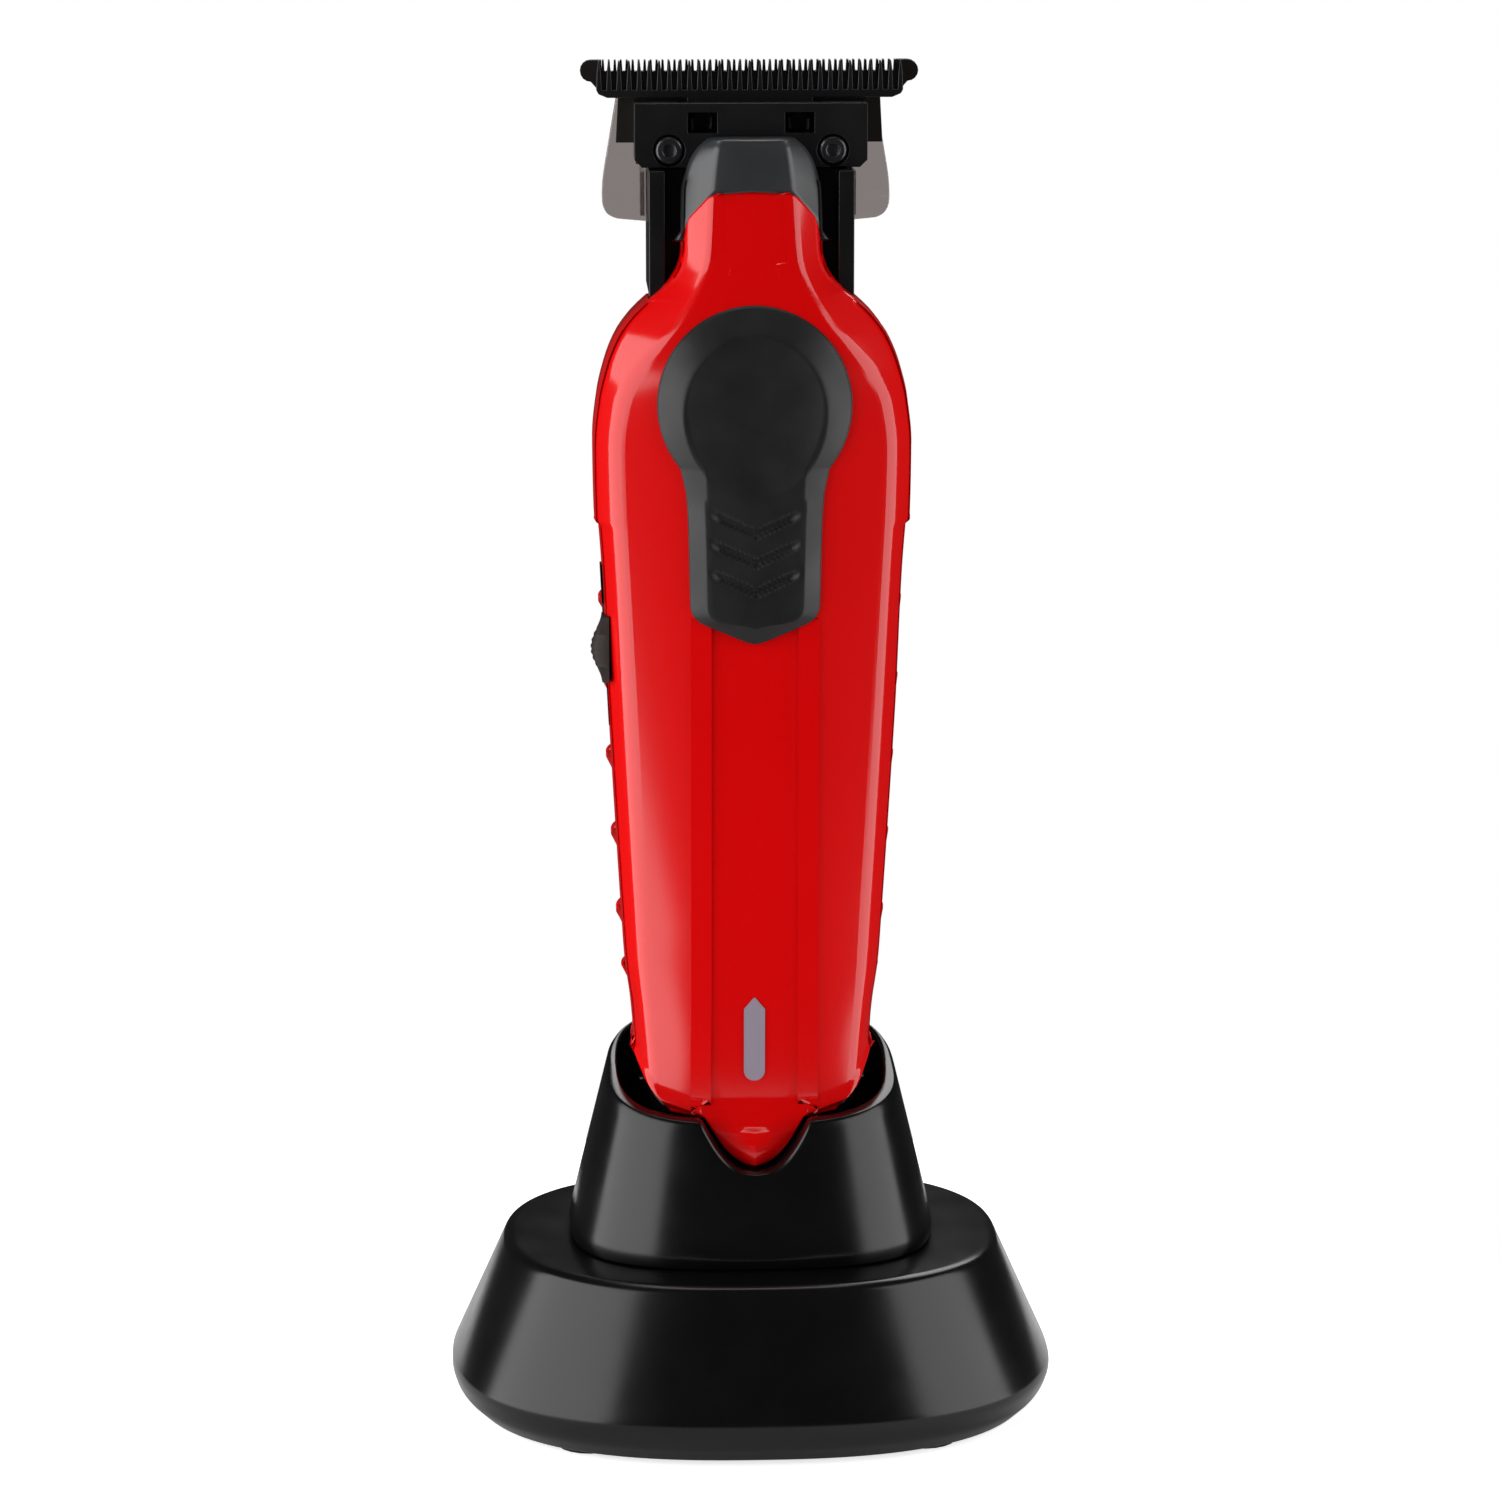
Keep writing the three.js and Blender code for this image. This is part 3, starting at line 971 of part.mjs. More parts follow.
function bladeBracket() {
  const outline = polygon([
    [-BRACKET_HALF + 1, BRACKET_LOW_Z], [BRACKET_HALF - 1, BRACKET_LOW_Z], [BRACKET_HALF, BRACKET_LOW_Z + 1],
    [BRACKET_HALF, BRACKET_TOP_Z], [-BRACKET_HALF, BRACKET_TOP_Z], [-BRACKET_HALF, BRACKET_LOW_Z + 1],
  ]);
  const block = frontPlate(outline, BRACKET_FRONT_Y, FIXED_BLADE_FRONT_Y - GAP);
  const tailRoom = CUTTER_TAIL_HALF + CUTTER_TRAVEL + GAP;
  const room = box(-tailRoom, tailRoom, BRACKET_PLATE_BACK, FAR, 0, FAR * 2);
  const combRoom = box(-FAR, FAR, CUTTER_FRONT_Y - GAP, FAR, CUTTER_LOW_Z - GAP, FAR * 2);
  const windows = [-1, 1].map((side) => {
    const middle = side * ((SPRING_INNER_X + SPRING_OUTER_X) / 2);
    return box(middle - 2, middle + 2, -FAR, 0, 178.6, 181.4);
  });
  const holes = [-BLADE_SCREW_X, BLADE_SCREW_X].flatMap((x) => [
    tubeAlongY(SCREW_SHANK_RADIUS + GAP, x, BLADE_SCREW_Z, -FAR, FAR, 12),
    tubeAlongY(SCREW_HEAD_RADIUS + GAP, x, BLADE_SCREW_Z, -FAR, BRACKET_FRONT_Y + 1, 16),
  ]);
  return cut(block, room, combRoom, ...windows, ...holes);
}

function bladeScrew(x) {
  const face = BRACKET_FRONT_Y - 0.1;
  const seat = BRACKET_FRONT_Y + 1 - 0.2;
  const end = WEB_FRONT_Y + WEB_THICK - 0.5;
  return turnedAlongY([
    [0, face + 0.6], [0.9, face + 0.6], [0.9, face], [SCREW_HEAD_RADIUS - 0.3, face],
    [SCREW_HEAD_RADIUS, face + 0.3],
    [SCREW_HEAD_RADIUS, seat], [SCREW_SHANK_RADIUS, seat], [SCREW_SHANK_RADIUS, end - 0.5], [0, end],
  ], x, BLADE_SCREW_Z, 16);
}

function bladeGuard() {
  const front = FRAME_BACK_Y + GAP;
  const back = front + GUARD_THICK;
  const shape = new THREE.Shape();
  shape.moveTo(-GUARD_LOW_HALF, GUARD_LOW_Z);
  shape.lineTo(GUARD_LOW_HALF, GUARD_LOW_Z);
  shape.bezierCurveTo(GUARD_LOW_HALF + 3, GUARD_LOW_Z + 0.4, GUARD_WIDEST, GUARD_LOW_Z + 2,
    GUARD_WIDEST, GUARD_WIDEST_Z);
  shape.lineTo(GUARD_TOP_HALF, GUARD_TOP_Z);
  shape.lineTo(-GUARD_TOP_HALF, GUARD_TOP_Z);
  shape.lineTo(-GUARD_WIDEST, GUARD_WIDEST_Z);
  shape.bezierCurveTo(-GUARD_WIDEST, GUARD_LOW_Z + 2, -GUARD_LOW_HALF - 3, GUARD_LOW_Z + 0.4,
    -GUARD_LOW_HALF, GUARD_LOW_Z);
  const plate = frontPlate(shape, front, back, 6);
  const inner = FRAME_HALF_X + GAP;
  const clips = [-1, 1].map((side) => {
    const near = side * inner;
    const outerX = side * (inner + GUARD_THICK);
    return box(Math.min(near, outerX), Math.max(near, outerX), front - CLIP_REACH, front + 0.5,
      GUARD_LOW_Z + 1.4, FRAME_TOP_Z - 1);
  });
  return join(plate, ...clips);
}

// ---------- naming and colours ----------

const PAINT = {
  red_gloss: { color: 0xb8090b, roughness: 0.3, metalness: 0.0 },
  black_satin: { color: 0x141416, roughness: 0.42, metalness: 0.0 },
  black_head: { color: 0x0c0c0e, roughness: 0.5, metalness: 0.0 },
  collar_grey: { color: 0x2b2c2f, roughness: 0.4, metalness: 0.0 },
  pad_rubber: { color: 0x232326, roughness: 0.7, metalness: 0.0 },
  foot_rubber: { color: 0x1a1a1a, roughness: 0.85, metalness: 0.0 },
  lens_grey: { color: 0x8c828f, roughness: 0.2, metalness: 0.0 },
  smoke_clear: { color: 0x6e6462, roughness: 0.12, metalness: 0.0 },
  slider_black: { color: 0x1d1917, roughness: 0.45, metalness: 0.0 },
  dark_blade: { color: 0x18181a, roughness: 0.28, metalness: 0.9 },
  warm_blade: { color: 0x4d4744, roughness: 0.25, metalness: 1.0 },
  spring_steel: { color: 0x9a9a9c, roughness: 0.25, metalness: 1.0 },
  screw_steel: { color: 0x2a2a2c, roughness: 0.35, metalness: 0.9 },
  zinc_steel: { color: 0x8d9094, roughness: 0.4, metalness: 1.0 },
  copper_rotor: { color: 0xa2603a, roughness: 0.45, metalness: 0.6 },
  magnet_grey: { color: 0x3a3b3f, roughness: 0.6, metalness: 0.3 },
  gold_contact: { color: 0xc9a24b, roughness: 0.3, metalness: 1.0 },
  nickel_tab: { color: 0xb4b5b0, roughness: 0.35, metalness: 1.0 },
  board_green: { color: 0x17603a, roughness: 0.55, metalness: 0.0 },
  cell_blue: { color: 0x2f63a8, roughness: 0.4, metalness: 0.0 },
  chassis_grey: { color: 0x55585c, roughness: 0.6, metalness: 0.0 },
  drive_white: { color: 0xd9d7cf, roughness: 0.5, metalness: 0.0 },
  led_white: { color: 0xe6e3d6, roughness: 0.3, metalness: 0.0 },
};

const object = new THREE.Group();
object.name = 'hair_clipper';
const stand = new THREE.Group();
const clipper = new THREE.Group();
clipper.position.z = CLIPPER_LIFT;
object.add(stand, clipper);

function place(group, name, paint, body) {
  const mesh = body.getMesh();
  const geometry = new THREE.BufferGeometry();
  geometry.setAttribute('position', new THREE.BufferAttribute(new Float32Array(mesh.vertProperties), 3));
  geometry.setIndex(new THREE.BufferAttribute(new Uint32Array(mesh.triVerts), 1));
  geometry.computeVertexNormals();
  const part = new THREE.Mesh(geometry, new THREE.MeshStandardMaterial(PAINT[paint]));
  part.name = name;
  part.material.name = paint;
  group.add(part);
}

function placeStand() {
  place(stand, 'base_shell', 'black_satin', baseShell());
  place(stand, 'cradle_tower', 'black_satin', cradleTower());
  place(stand, 'bottom_plate', 'black_head', bottomPlate());
  place(stand, 'ballast_plate', 'zinc_steel', ballastPlate());
  baseScrewSpots().forEach((spot, i) => place(stand, `base_screw_${i + 1}`, 'zinc_steel', baseScrew(spot)));
  place(stand, 'foot_1', 'foot_rubber', foot(-FOOT_X, -FOOT_Y));
  place(stand, 'foot_2', 'foot_rubber', foot(FOOT_X, -FOOT_Y));
  place(stand, 'foot_3', 'foot_rubber', foot(-FOOT_X, FOOT_Y));
  place(stand, 'foot_4', 'foot_rubber', foot(FOOT_X, FOOT_Y));
  place(stand, 'stand_pcb', 'board_green', standPcb());
  place(stand, 'pin_holder', 'chassis_grey', pinHolder());
  place(stand, 'contact_pin_left', 'gold_contact', contactPin(-PIN_X));
  place(stand, 'contact_pin_right', 'gold_contact', contactPin(PIN_X));
  place(stand, 'power_inlet', 'zinc_steel', powerInlet());
}

function placeShells() {
  place(clipper, 'front_lid', 'red_gloss', frontLid());
  place(clipper, 'rear_housing', 'red_gloss', rearHousing());
  place(clipper, 'bottom_cap', 'black_satin', bottomCap());
  place(clipper, 'cap_screw_left', 'screw_steel', capScrew(-CAP_SCREW_X));
  place(clipper, 'cap_screw_right', 'screw_steel', capScrew(CAP_SCREW_X));
  place(clipper, 'charge_contact_left', 'gold_contact', chargeContact(-PIN_X));
  place(clipper, 'charge_contact_right', 'gold_contact', chargeContact(PIN_X));
  place(clipper, 'nose_collar', 'collar_grey', noseCollar());
  place(clipper, 'thumb_rest', 'pad_rubber', thumbRest());
  place(clipper, 'led_window', 'lens_grey', ledWindow());
  place(clipper, 'slider_bezel', 'slider_black', sliderBezel());
  place(clipper, 'power_slider', 'slider_black', powerSlider());
}

function placeInside() {
  place(clipper, 'switch_body', 'chassis_grey', switchBody());
  place(clipper, 'inner_chassis', 'chassis_grey', innerChassis());
  place(clipper, 'battery_cell', 'cell_blue', batteryCell());
  place(clipper, 'battery_tab_low', 'nickel_tab', batteryTab(BATTERY_LOW_Z - GAP - TAB_THICK));
  place(clipper, 'battery_tab_high', 'nickel_tab', batteryTab(BATTERY_HIGH_Z + GAP));
  place(clipper, 'main_pcb', 'board_green', mainPcb());
  place(clipper, 'led_chip', 'led_white', ledChip());
  place(clipper, 'motor_can', 'zinc_steel', motorCan());
  place(clipper, 'motor_magnet', 'magnet_grey', motorMagnet());
  place(clipper, 'motor_end_cap', 'drive_white', motorEndCap());
  place(clipper, 'rotor', 'copper_rotor', rotor());
  place(clipper, 'eccentric', 'drive_white', eccentric());
}

function placeHead() {
  place(clipper, 'head_frame', 'black_head', headFrame());
  place(clipper, 'fixed_blade', 'warm_blade', fixedBlade());
  place(clipper, 'moving_cutter', 'dark_blade', movingCutter());
  place(clipper, 'cam_follower', 'drive_white', camFollower());
  place(clipper, 'tension_spring', 'spring_steel', tensionSpring());
  place(clipper, 'blade_bracket', 'black_head', bladeBracket());
  place(clipper, 'blade_screw_left', 'screw_steel', bladeScrew(-BLADE_SCREW_X));
  place(clipper, 'blade_screw_right', 'screw_steel', bladeScrew(BLADE_SCREW_X));
  place(clipper, 'blade_guard', 'smoke_clear', bladeGuard());
}

placeStand();
placeShells();
placeInside();
placeHead();

export default object;
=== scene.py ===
# %% [markdown]
# # A cordless hair clipper in its charging stand
# The imported engineering model gives every piece its place and size. Here each visible piece gets its fine
# surface and its finish. The first cell loads that model and keeps its pieces, whose boxes place and size the
# finished ones.

# %% Load the frame
import json
import math

import bmesh
import bpy
from mathutils import Matrix, Vector


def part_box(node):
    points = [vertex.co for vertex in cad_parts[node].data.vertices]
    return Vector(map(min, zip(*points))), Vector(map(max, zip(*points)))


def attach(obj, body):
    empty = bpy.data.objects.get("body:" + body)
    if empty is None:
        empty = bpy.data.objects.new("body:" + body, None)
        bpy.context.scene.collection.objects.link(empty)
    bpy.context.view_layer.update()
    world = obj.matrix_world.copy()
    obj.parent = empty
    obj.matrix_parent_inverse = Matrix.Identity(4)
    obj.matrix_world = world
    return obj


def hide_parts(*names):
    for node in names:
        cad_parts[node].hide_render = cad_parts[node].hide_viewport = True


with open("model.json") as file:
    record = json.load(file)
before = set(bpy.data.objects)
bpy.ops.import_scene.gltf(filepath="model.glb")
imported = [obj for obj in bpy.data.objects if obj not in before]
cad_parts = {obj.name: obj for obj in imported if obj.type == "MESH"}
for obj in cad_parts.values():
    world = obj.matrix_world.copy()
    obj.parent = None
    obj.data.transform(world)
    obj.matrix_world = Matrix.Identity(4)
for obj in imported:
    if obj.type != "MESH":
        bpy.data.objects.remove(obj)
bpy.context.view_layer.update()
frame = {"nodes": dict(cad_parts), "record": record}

MM = 0.001
scene = bpy.context.scene
scene.view_settings.view_transform = "Standard"

# %% [markdown]
# ## Camera
# A long lens from in front and a little above keeps the upright edges nearly parallel, as in a catalogue
# picture. An Empty to track would also work, but a direction turned into a rotation needs no second object.

# %% Place the camera
CAMERA_AT = Vector((-0.031, -0.6993, 0.2401))
CAMERA_AIM = Vector((0, 0, 0.0931))
camera_data = bpy.data.cameras.new("camera")
camera_data.sensor_width = 36
camera_data.lens = 123.9
camera_data.clip_start = 0.01
camera = bpy.data.objects.new("camera", camera_data)
camera.location = CAMERA_AT
camera.rotation_mode = "QUATERNION"
camera.rotation_quaternion = (CAMERA_AIM - CAMERA_AT).to_track_quat("-Z", "Y")
scene.collection.objects.link(camera)
scene.camera = camera
print("camera distance, mm", round((CAMERA_AIM - CAMERA_AT).length / MM))

# %% [markdown]
# ## Studio
# Dark glossy plastic is drawn by what it reflects. A large soft box on the left gives the broad sheen on
# the red front, and a narrower, weaker one on the right lights the other edge. A lamp above lifts the deck
# of the stand and one behind lifts the back. The world stays dim so that the middle of the black parts
# stays black. A brighter room would be simpler, but it turns black plastic grey.

# %% Lamps, world and floor
def soft_box(name, place, aim, wide, tall, power):
    lamp = bpy.data.lights.new(name, "AREA")
    lamp.shape = "RECTANGLE"
    lamp.size = wide
    lamp.size_y = tall
    lamp.energy = power
    thing = bpy.data.objects.new(name, lamp)
    thing.location = place
    thing.rotation_mode = "QUATERNION"
    thing.rotation_quaternion = (Vector(aim) - Vector(place)).to_track_quat("-Z", "Y")
    scene.collection.objects.link(thing)
    return thing


soft_box("left_box", (-0.80, -0.29, 0.15), (0, 0, 0.10), 1.25, 1.30, 20.0)
soft_box("right_box", (0.80, -0.29, 0.15), (0, 0, 0.10), 0.85, 1.30, 11.5)
soft_box("top_box", (0.0, 0.10, 1.00), (0, 0, 0.10), 0.50, 0.50, 2.4)
soft_box("back_box", (0.20, 0.60, 0.75), (0, 0, 0.10), 0.60, 0.60, 5.0)

world = bpy.data.worlds.new("studio")
world.use_nodes = True
scene.world = world
world_nodes = world.node_tree.nodes
world_links = world.node_tree.links
background = world_nodes["Background"]
background.inputs["Color"].default_value = (1, 1, 1, 1)
ROOM_LEVEL = 0.03
GLOSSY_LEVEL = 0.03
world_path = world_nodes.new("ShaderNodeLightPath")
world_gloss = world_nodes.new("ShaderNodeMapRange")
world_gloss.inputs["To Min"].default_value = ROOM_LEVEL
world_gloss.inputs["To Max"].default_value = GLOSSY_LEVEL
world_seen = world_nodes.new("ShaderNodeMath")
world_seen.operation = "MAXIMUM"
world_level = world_nodes.new("ShaderNodeMath")
world_level.operation = "MAXIMUM"
world_links.new(world_path.outputs["Is Glossy Ray"], world_gloss.inputs["Value"])
world_links.new(world_path.outputs["Is Camera Ray"], world_seen.inputs[0])
world_links.new(world_path.outputs["Is Transmission Ray"], world_seen.inputs[1])
world_links.new(world_gloss.outputs["Result"], world_level.inputs[0])
world_links.new(world_seen.outputs["Value"], world_level.inputs[1])
world_links.new(world_level.outputs["Value"], background.inputs["Strength"])


PAPER_GLOW = 0.75
FLOOR_RADIUS = 0.13


def studio_paper():
    """White paper that the camera and clear pieces see as white, and that still takes a shadow."""
    paper = bpy.data.materials.new("studio_paper")
    paper.use_nodes = True
    nodes = paper.node_tree.nodes
    links = paper.node_tree.links
    shader = nodes["Principled BSDF"]
    shader.inputs["Base Color"].default_value = (0.86, 0.86, 0.86, 1)
    shader.inputs["Roughness"].default_value = 0.9
    shader.inputs["Specular IOR Level"].default_value = 0.1
    path = nodes.new("ShaderNodeLightPath")
    seen = nodes.new("ShaderNodeMath")
    seen.operation = "MAXIMUM"
    links.new(path.outputs["Is Camera Ray"], seen.inputs[0])
    links.new(path.outputs["Is Transmission Ray"], seen.inputs[1])
    level = nodes.new("ShaderNodeMath")
    level.operation = "MULTIPLY"
    level.inputs[1].default_value = PAPER_GLOW
    links.new(seen.outputs["Value"], level.inputs[0])
    shader.inputs["Emission Color"].default_value = (1, 1, 1, 1)
    links.new(level.outputs["Value"], shader.inputs["Emission Strength"])
    return paper


def studio_floor():
    """A round sheet of paper to stand on."""
    bm = bmesh.new()
    bmesh.ops.create_circle(bm, segments=96, radius=FLOOR_RADIUS, cap_ends=True)
    mesh = bpy.data.meshes.new("studio_floor")
    bm.to_mesh(mesh)
    bm.free()
    sheet = bpy.data.objects.new("studio_floor", mesh)
    sheet.data.materials.append(studio_paper())
    scene.collection.objects.link(sheet)
    return sheet


floor = studio_floor()

# %% [markdown]
# ## Finishes
# Every finish is the same shader with its own sockets, plus three things that keep it from looking like
# paint from a tube: fine grain as bump, a slow drift in roughness, and a slow drift in colour. Noise on
# Object coordinates gives all three at a real scale, because the pieces are in metres and never turned.

# %% A helper for moulded and metal finishes
def finish(name, colour, rough, metal=0.0, drift=0.12, grain=900.0, depth=0.02, stretch=(1, 1, 1),
           **sockets):
    """A Principled finish with grain, roughness drift and colour drift."""
    made = bpy.data.materials.new(name)
    made.use_nodes = True
    nodes = made.node_tree.nodes
    links = made.node_tree.links
    shader = nodes["Principled BSDF"]
    shader.inputs["Metallic"].default_value = metal
    for socket, value in sockets.items():
        shader.inputs[socket.replace("_", " ")].default_value = value
    where = nodes.new("ShaderNodeTexCoord")
    turn = nodes.new("ShaderNodeMapping")
    turn.inputs["Scale"].default_value = stretch
    links.new(where.outputs["Object"], turn.inputs["Vector"])

    slow = nodes.new("ShaderNodeTexNoise")
    slow.inputs["Scale"].default_value = grain * 0.06
    slow.inputs["Detail"].default_value = 3
    links.new(turn.outputs["Vector"], slow.inputs["Vector"])
    tint = nodes.new("ShaderNodeMix")
    tint.data_type = "RGBA"
    tint.inputs["A"].default_value = (*[c * (1 - drift) for c in colour], 1)
    tint.inputs["B"].default_value = (*[min(1, c * (1 + drift)) for c in colour], 1)
    links.new(slow.outputs["Fac"], tint.inputs["Factor"])
    links.new(tint.outputs["Result"], shader.inputs["Base Color"])

    polish = nodes.new("ShaderNodeMapRange")
    polish.interpolation_type = "SMOOTHSTEP"
    polish.inputs["From Min"].default_value = 0.15
    polish.inputs["From Max"].default_value = 0.85
    polish.inputs["To Min"].default_value = rough * 0.85
    polish.inputs["To Max"].default_value = rough * 1.15
    links.new(slow.outputs["Fac"], polish.inputs["Value"])
    links.new(polish.outputs["Result"], shader.inputs["Roughness"])

    fine = nodes.new("ShaderNodeTexNoise")
    fine.inputs["Scale"].default_value = grain
    fine.inputs["Detail"].default_value = 2
    links.new(turn.outputs["Vector"], fine.inputs["Vector"])
    relief = nodes.new("ShaderNodeBump")
    relief.inputs["Strength"].default_value = 1.0
    relief.inputs["Distance"].default_value = depth * MM
    links.new(fine.outputs["Fac"], relief.inputs["Height"])
    links.new(relief.outputs["Normal"], shader.inputs["Normal"])
    return made


# %% [markdown]
# ### Plastics and rubber
# The red shells are injection moulded in a glossy, lacquered plastic: a thin, smooth coat over a duller
# base. The stand is the same process in black with a satin tool surface. Rubber is rougher and has a little
# sheen.

# %% Plastics and rubber
GLOSS_RED = finish("gloss_red", (0.56, 0.0004, 0.0008), 0.42, drift=0.03, grain=700, depth=0.0015,
                   Specular_IOR_Level=0.04, Coat_Weight=0.75, Coat_Roughness=0.11)
SATIN_BLACK = finish("satin_black", (0.0028, 0.0028, 0.0032), 0.22, drift=0.1, grain=2200, depth=0.0012,
                     Specular_IOR_Level=0.32)
HEAD_BLACK = finish("head_black", (0.0035, 0.0035, 0.004), 0.34, drift=0.1, grain=2200, depth=0.002,
                    Specular_IOR_Level=0.4)
COLLAR_GREY = finish("collar_grey", (0.020, 0.021, 0.023), 0.36, drift=0.08, grain=2500, depth=0.002)
PAD_RUBBER = finish("pad_rubber", (0.0055, 0.0055, 0.0058), 0.46, drift=0.1, grain=2600, depth=0.008,
                    Specular_IOR_Level=0.34)
FOOT_RUBBER = finish("foot_rubber", (0.02, 0.02, 0.02), 0.8, drift=0.15, grain=1800, depth=0.02)
SLIDE_BROWN = finish("slide_brown", (0.020, 0.014, 0.012), 0.6, drift=0.1, grain=1500, depth=0.004,
                     Specular_IOR_Level=0.2)
LENS_GREY = finish("lens_grey", (0.24, 0.20, 0.25), 0.35, drift=0.05, grain=1200, depth=0.003,
                   Coat_Weight=0.5, Coat_Roughness=0.1)
CHASSIS_GREY = finish("chassis_grey", (0.09, 0.095, 0.1), 0.55, grain=1500, depth=0.01)
DRIVE_WHITE = finish("drive_white", (0.68, 0.66, 0.60), 0.45, drift=0.04, grain=1500, depth=0.006)
BOARD_GREEN = finish("board_green", (0.01, 0.12, 0.05), 0.45, drift=0.25, grain=1800, depth=0.01)
CELL_BLUE = finish("cell_blue", (0.03, 0.12, 0.38), 0.3, drift=0.06, grain=800, depth=0.006)
LED_WHITE = finish("led_white", (0.78, 0.76, 0.68), 0.25, drift=0.03, grain=1500, depth=0.002)
MAGNET_GREY = finish("magnet_grey", (0.04, 0.042, 0.047), 0.6, metal=0.2, grain=1600, depth=0.02)
print("plastics and rubber made")

# %% [markdown]
# ### Metals
# Ground steel has fine parallel scratches. Stretching the noise along the grinding direction gives them,
# and the same stretched noise drives the roughness, so the highlights break up along the scratches.

# %% Metals
BLADE_BLACK = finish("blade_black", (0.016, 0.016, 0.018), 0.28, metal=0.6, drift=0.2, grain=900, depth=0.006,
                     stretch=(1, 1, 0.15))
BLADE_WARM = finish("blade_warm", (0.11, 0.10, 0.093), 0.3, metal=1.0, drift=0.15, grain=900, depth=0.006,
                    stretch=(1, 1, 0.15))
SPRING_WIRE = finish("spring_wire", (0.035, 0.035, 0.037), 0.2, metal=1.0, drift=0.1, grain=1500, depth=0.004)
SCREW_BLACK = finish("screw_black", (0.06, 0.06, 0.065), 0.3, metal=0.9, drift=0.2, grain=1500, depth=0.01)
ZINC_STEEL = finish("zinc_steel", (0.42, 0.43, 0.46), 0.35, metal=1.0, drift=0.15, grain=900, depth=0.01,
                    stretch=(0.2, 1, 1))
COPPER_ROTOR = finish("copper_rotor", (0.42, 0.16, 0.07), 0.4, metal=0.8, drift=0.25, grain=1400, depth=0.05,
                      stretch=(1, 1, 0.1))
GOLD_CONTACT = finish("gold_contact", (0.62, 0.40, 0.10), 0.25, metal=1.0, drift=0.1, grain=1200, depth=0.004)
NICKEL_STRIP = finish("nickel_strip", (0.52, 0.51, 0.47), 0.35, metal=1.0, drift=0.1, grain=1200, depth=0.008)
print("metals made")

# %% [markdown]
# ### Smoked clear plastic
# The guard is tinted all the way through. Transmission with a grey-brown colour tints light once on the way
# in and once on the way out, which is close to what a 1.4 mm plate does. A thin rough film on it would
# scatter, so the roughness stays low.

# %% Smoked clear plastic
SMOKED_CLEAR = finish("smoked_clear", (0.235, 0.205, 0.198), 0.06, drift=0.04, grain=500, depth=0.001,
                      Transmission_Weight=1.0, IOR=1.46)
print("smoked clear made")

# %% [markdown]
# ## Modelling helpers
# Three helpers cover most pieces. A skin is a grid whose vertices are moved onto a surface, which suits
# moulded shells. A slab is an outline given a thickness and rounded edges. A softened piece is a copy of an
# engineering solid with its flat faces rejoined and its sharp edges rounded, which suits prismatic metal
# parts.

# %% Helpers that keep a finished piece
PIECES = []


def keep(bm, name, material, body, nodes, angle=35.0):
    """Turns a bmesh into a finished piece that rides on a body."""
    mesh = bpy.data.meshes.new(name)
    bm.normal_update()
    bm.to_mesh(mesh)
    bm.free()
    thing = bpy.data.objects.new(name, mesh)
    scene.collection.objects.link(thing)
    mesh.materials.append(material)
    mesh.polygons.foreach_set("use_smooth", [True] * len(mesh.polygons))
    mesh.set_sharp_from_angle(angle=math.radians(angle))
    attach(thing, body)
    if nodes:
        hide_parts(*nodes)
    PIECES.append(thing)
    print(name, "faces", len(mesh.polygons))
    return thing


def skin(columns, rows, place, loop=False):
    """A grid of columns by rows, each vertex moved to place(column, row) in millimetres."""
    bm = bmesh.new()
    bmesh.ops.create_grid(bm, x_segments=columns - 1 + int(loop), y_segments=rows - 1, size=0.5)
    spans = columns - 1 + int(loop)
    for vert in bm.verts:
        column = round((vert.co.x + 0.5) * spans) % columns if loop else round((vert.co.x + 0.5) * spans)
        row = round((vert.co.y + 0.5) * (rows - 1))
        vert.co = Vector(place(column, row)) * MM
    bmesh.ops.remove_doubles(bm, verts=bm.verts, dist=1e-7)
    return bm


def outward(bm):
    """Faces look out: merged first, then turned."""
    bmesh.ops.remove_doubles(bm, verts=bm.verts, dist=1e-7)
    bmesh.ops.recalc_face_normals(bm, faces=bm.faces)
    return bm


def round_edges(bm, width, segments=2, angle=28.0):
    """Rounds every edge sharper than the angle."""
    sharp = [e for e in bm.edges if len(e.link_faces) == 2 and e.calc_face_angle(0) > math.radians(angle)]
    bmesh.ops.bevel(bm, geom=sharp, offset=width * MM, offset_type="OFFSET", segments=segments, profile=0.5,
                    affect="EDGES", clamp_overlap=True, material=-1)
    return bm


def flat_faces(thing):
    """Keeps large flat faces flat in shading beside their rounded edges."""
    even = thing.modifiers.new("flat_faces", "WEIGHTED_NORMAL")
    even.keep_sharp = True
    return thing


def softened(node, width, segments=2):
    """A copy of an engineering solid with flat faces rejoined and sharp edges rounded."""
    bm = bmesh.new()
    bm.from_mesh(frame["nodes"][node].data)
    bmesh.ops.remove_doubles(bm, verts=bm.verts, dist=2e-6)
    bmesh.ops.dissolve_limit(bm, angle_limit=math.radians(1.0), verts=bm.verts, edges=bm.edges)
    return round_edges(bm, width, segments)


def lerp(a, b, t):
    return a + (b - a) * t


def ease(t):
    t = min(1.0, max(0.0, t))
    return t * t * (3 - 2 * t)


def power(value, exponent):
    return math.copysign(abs(value) ** exponent, value)


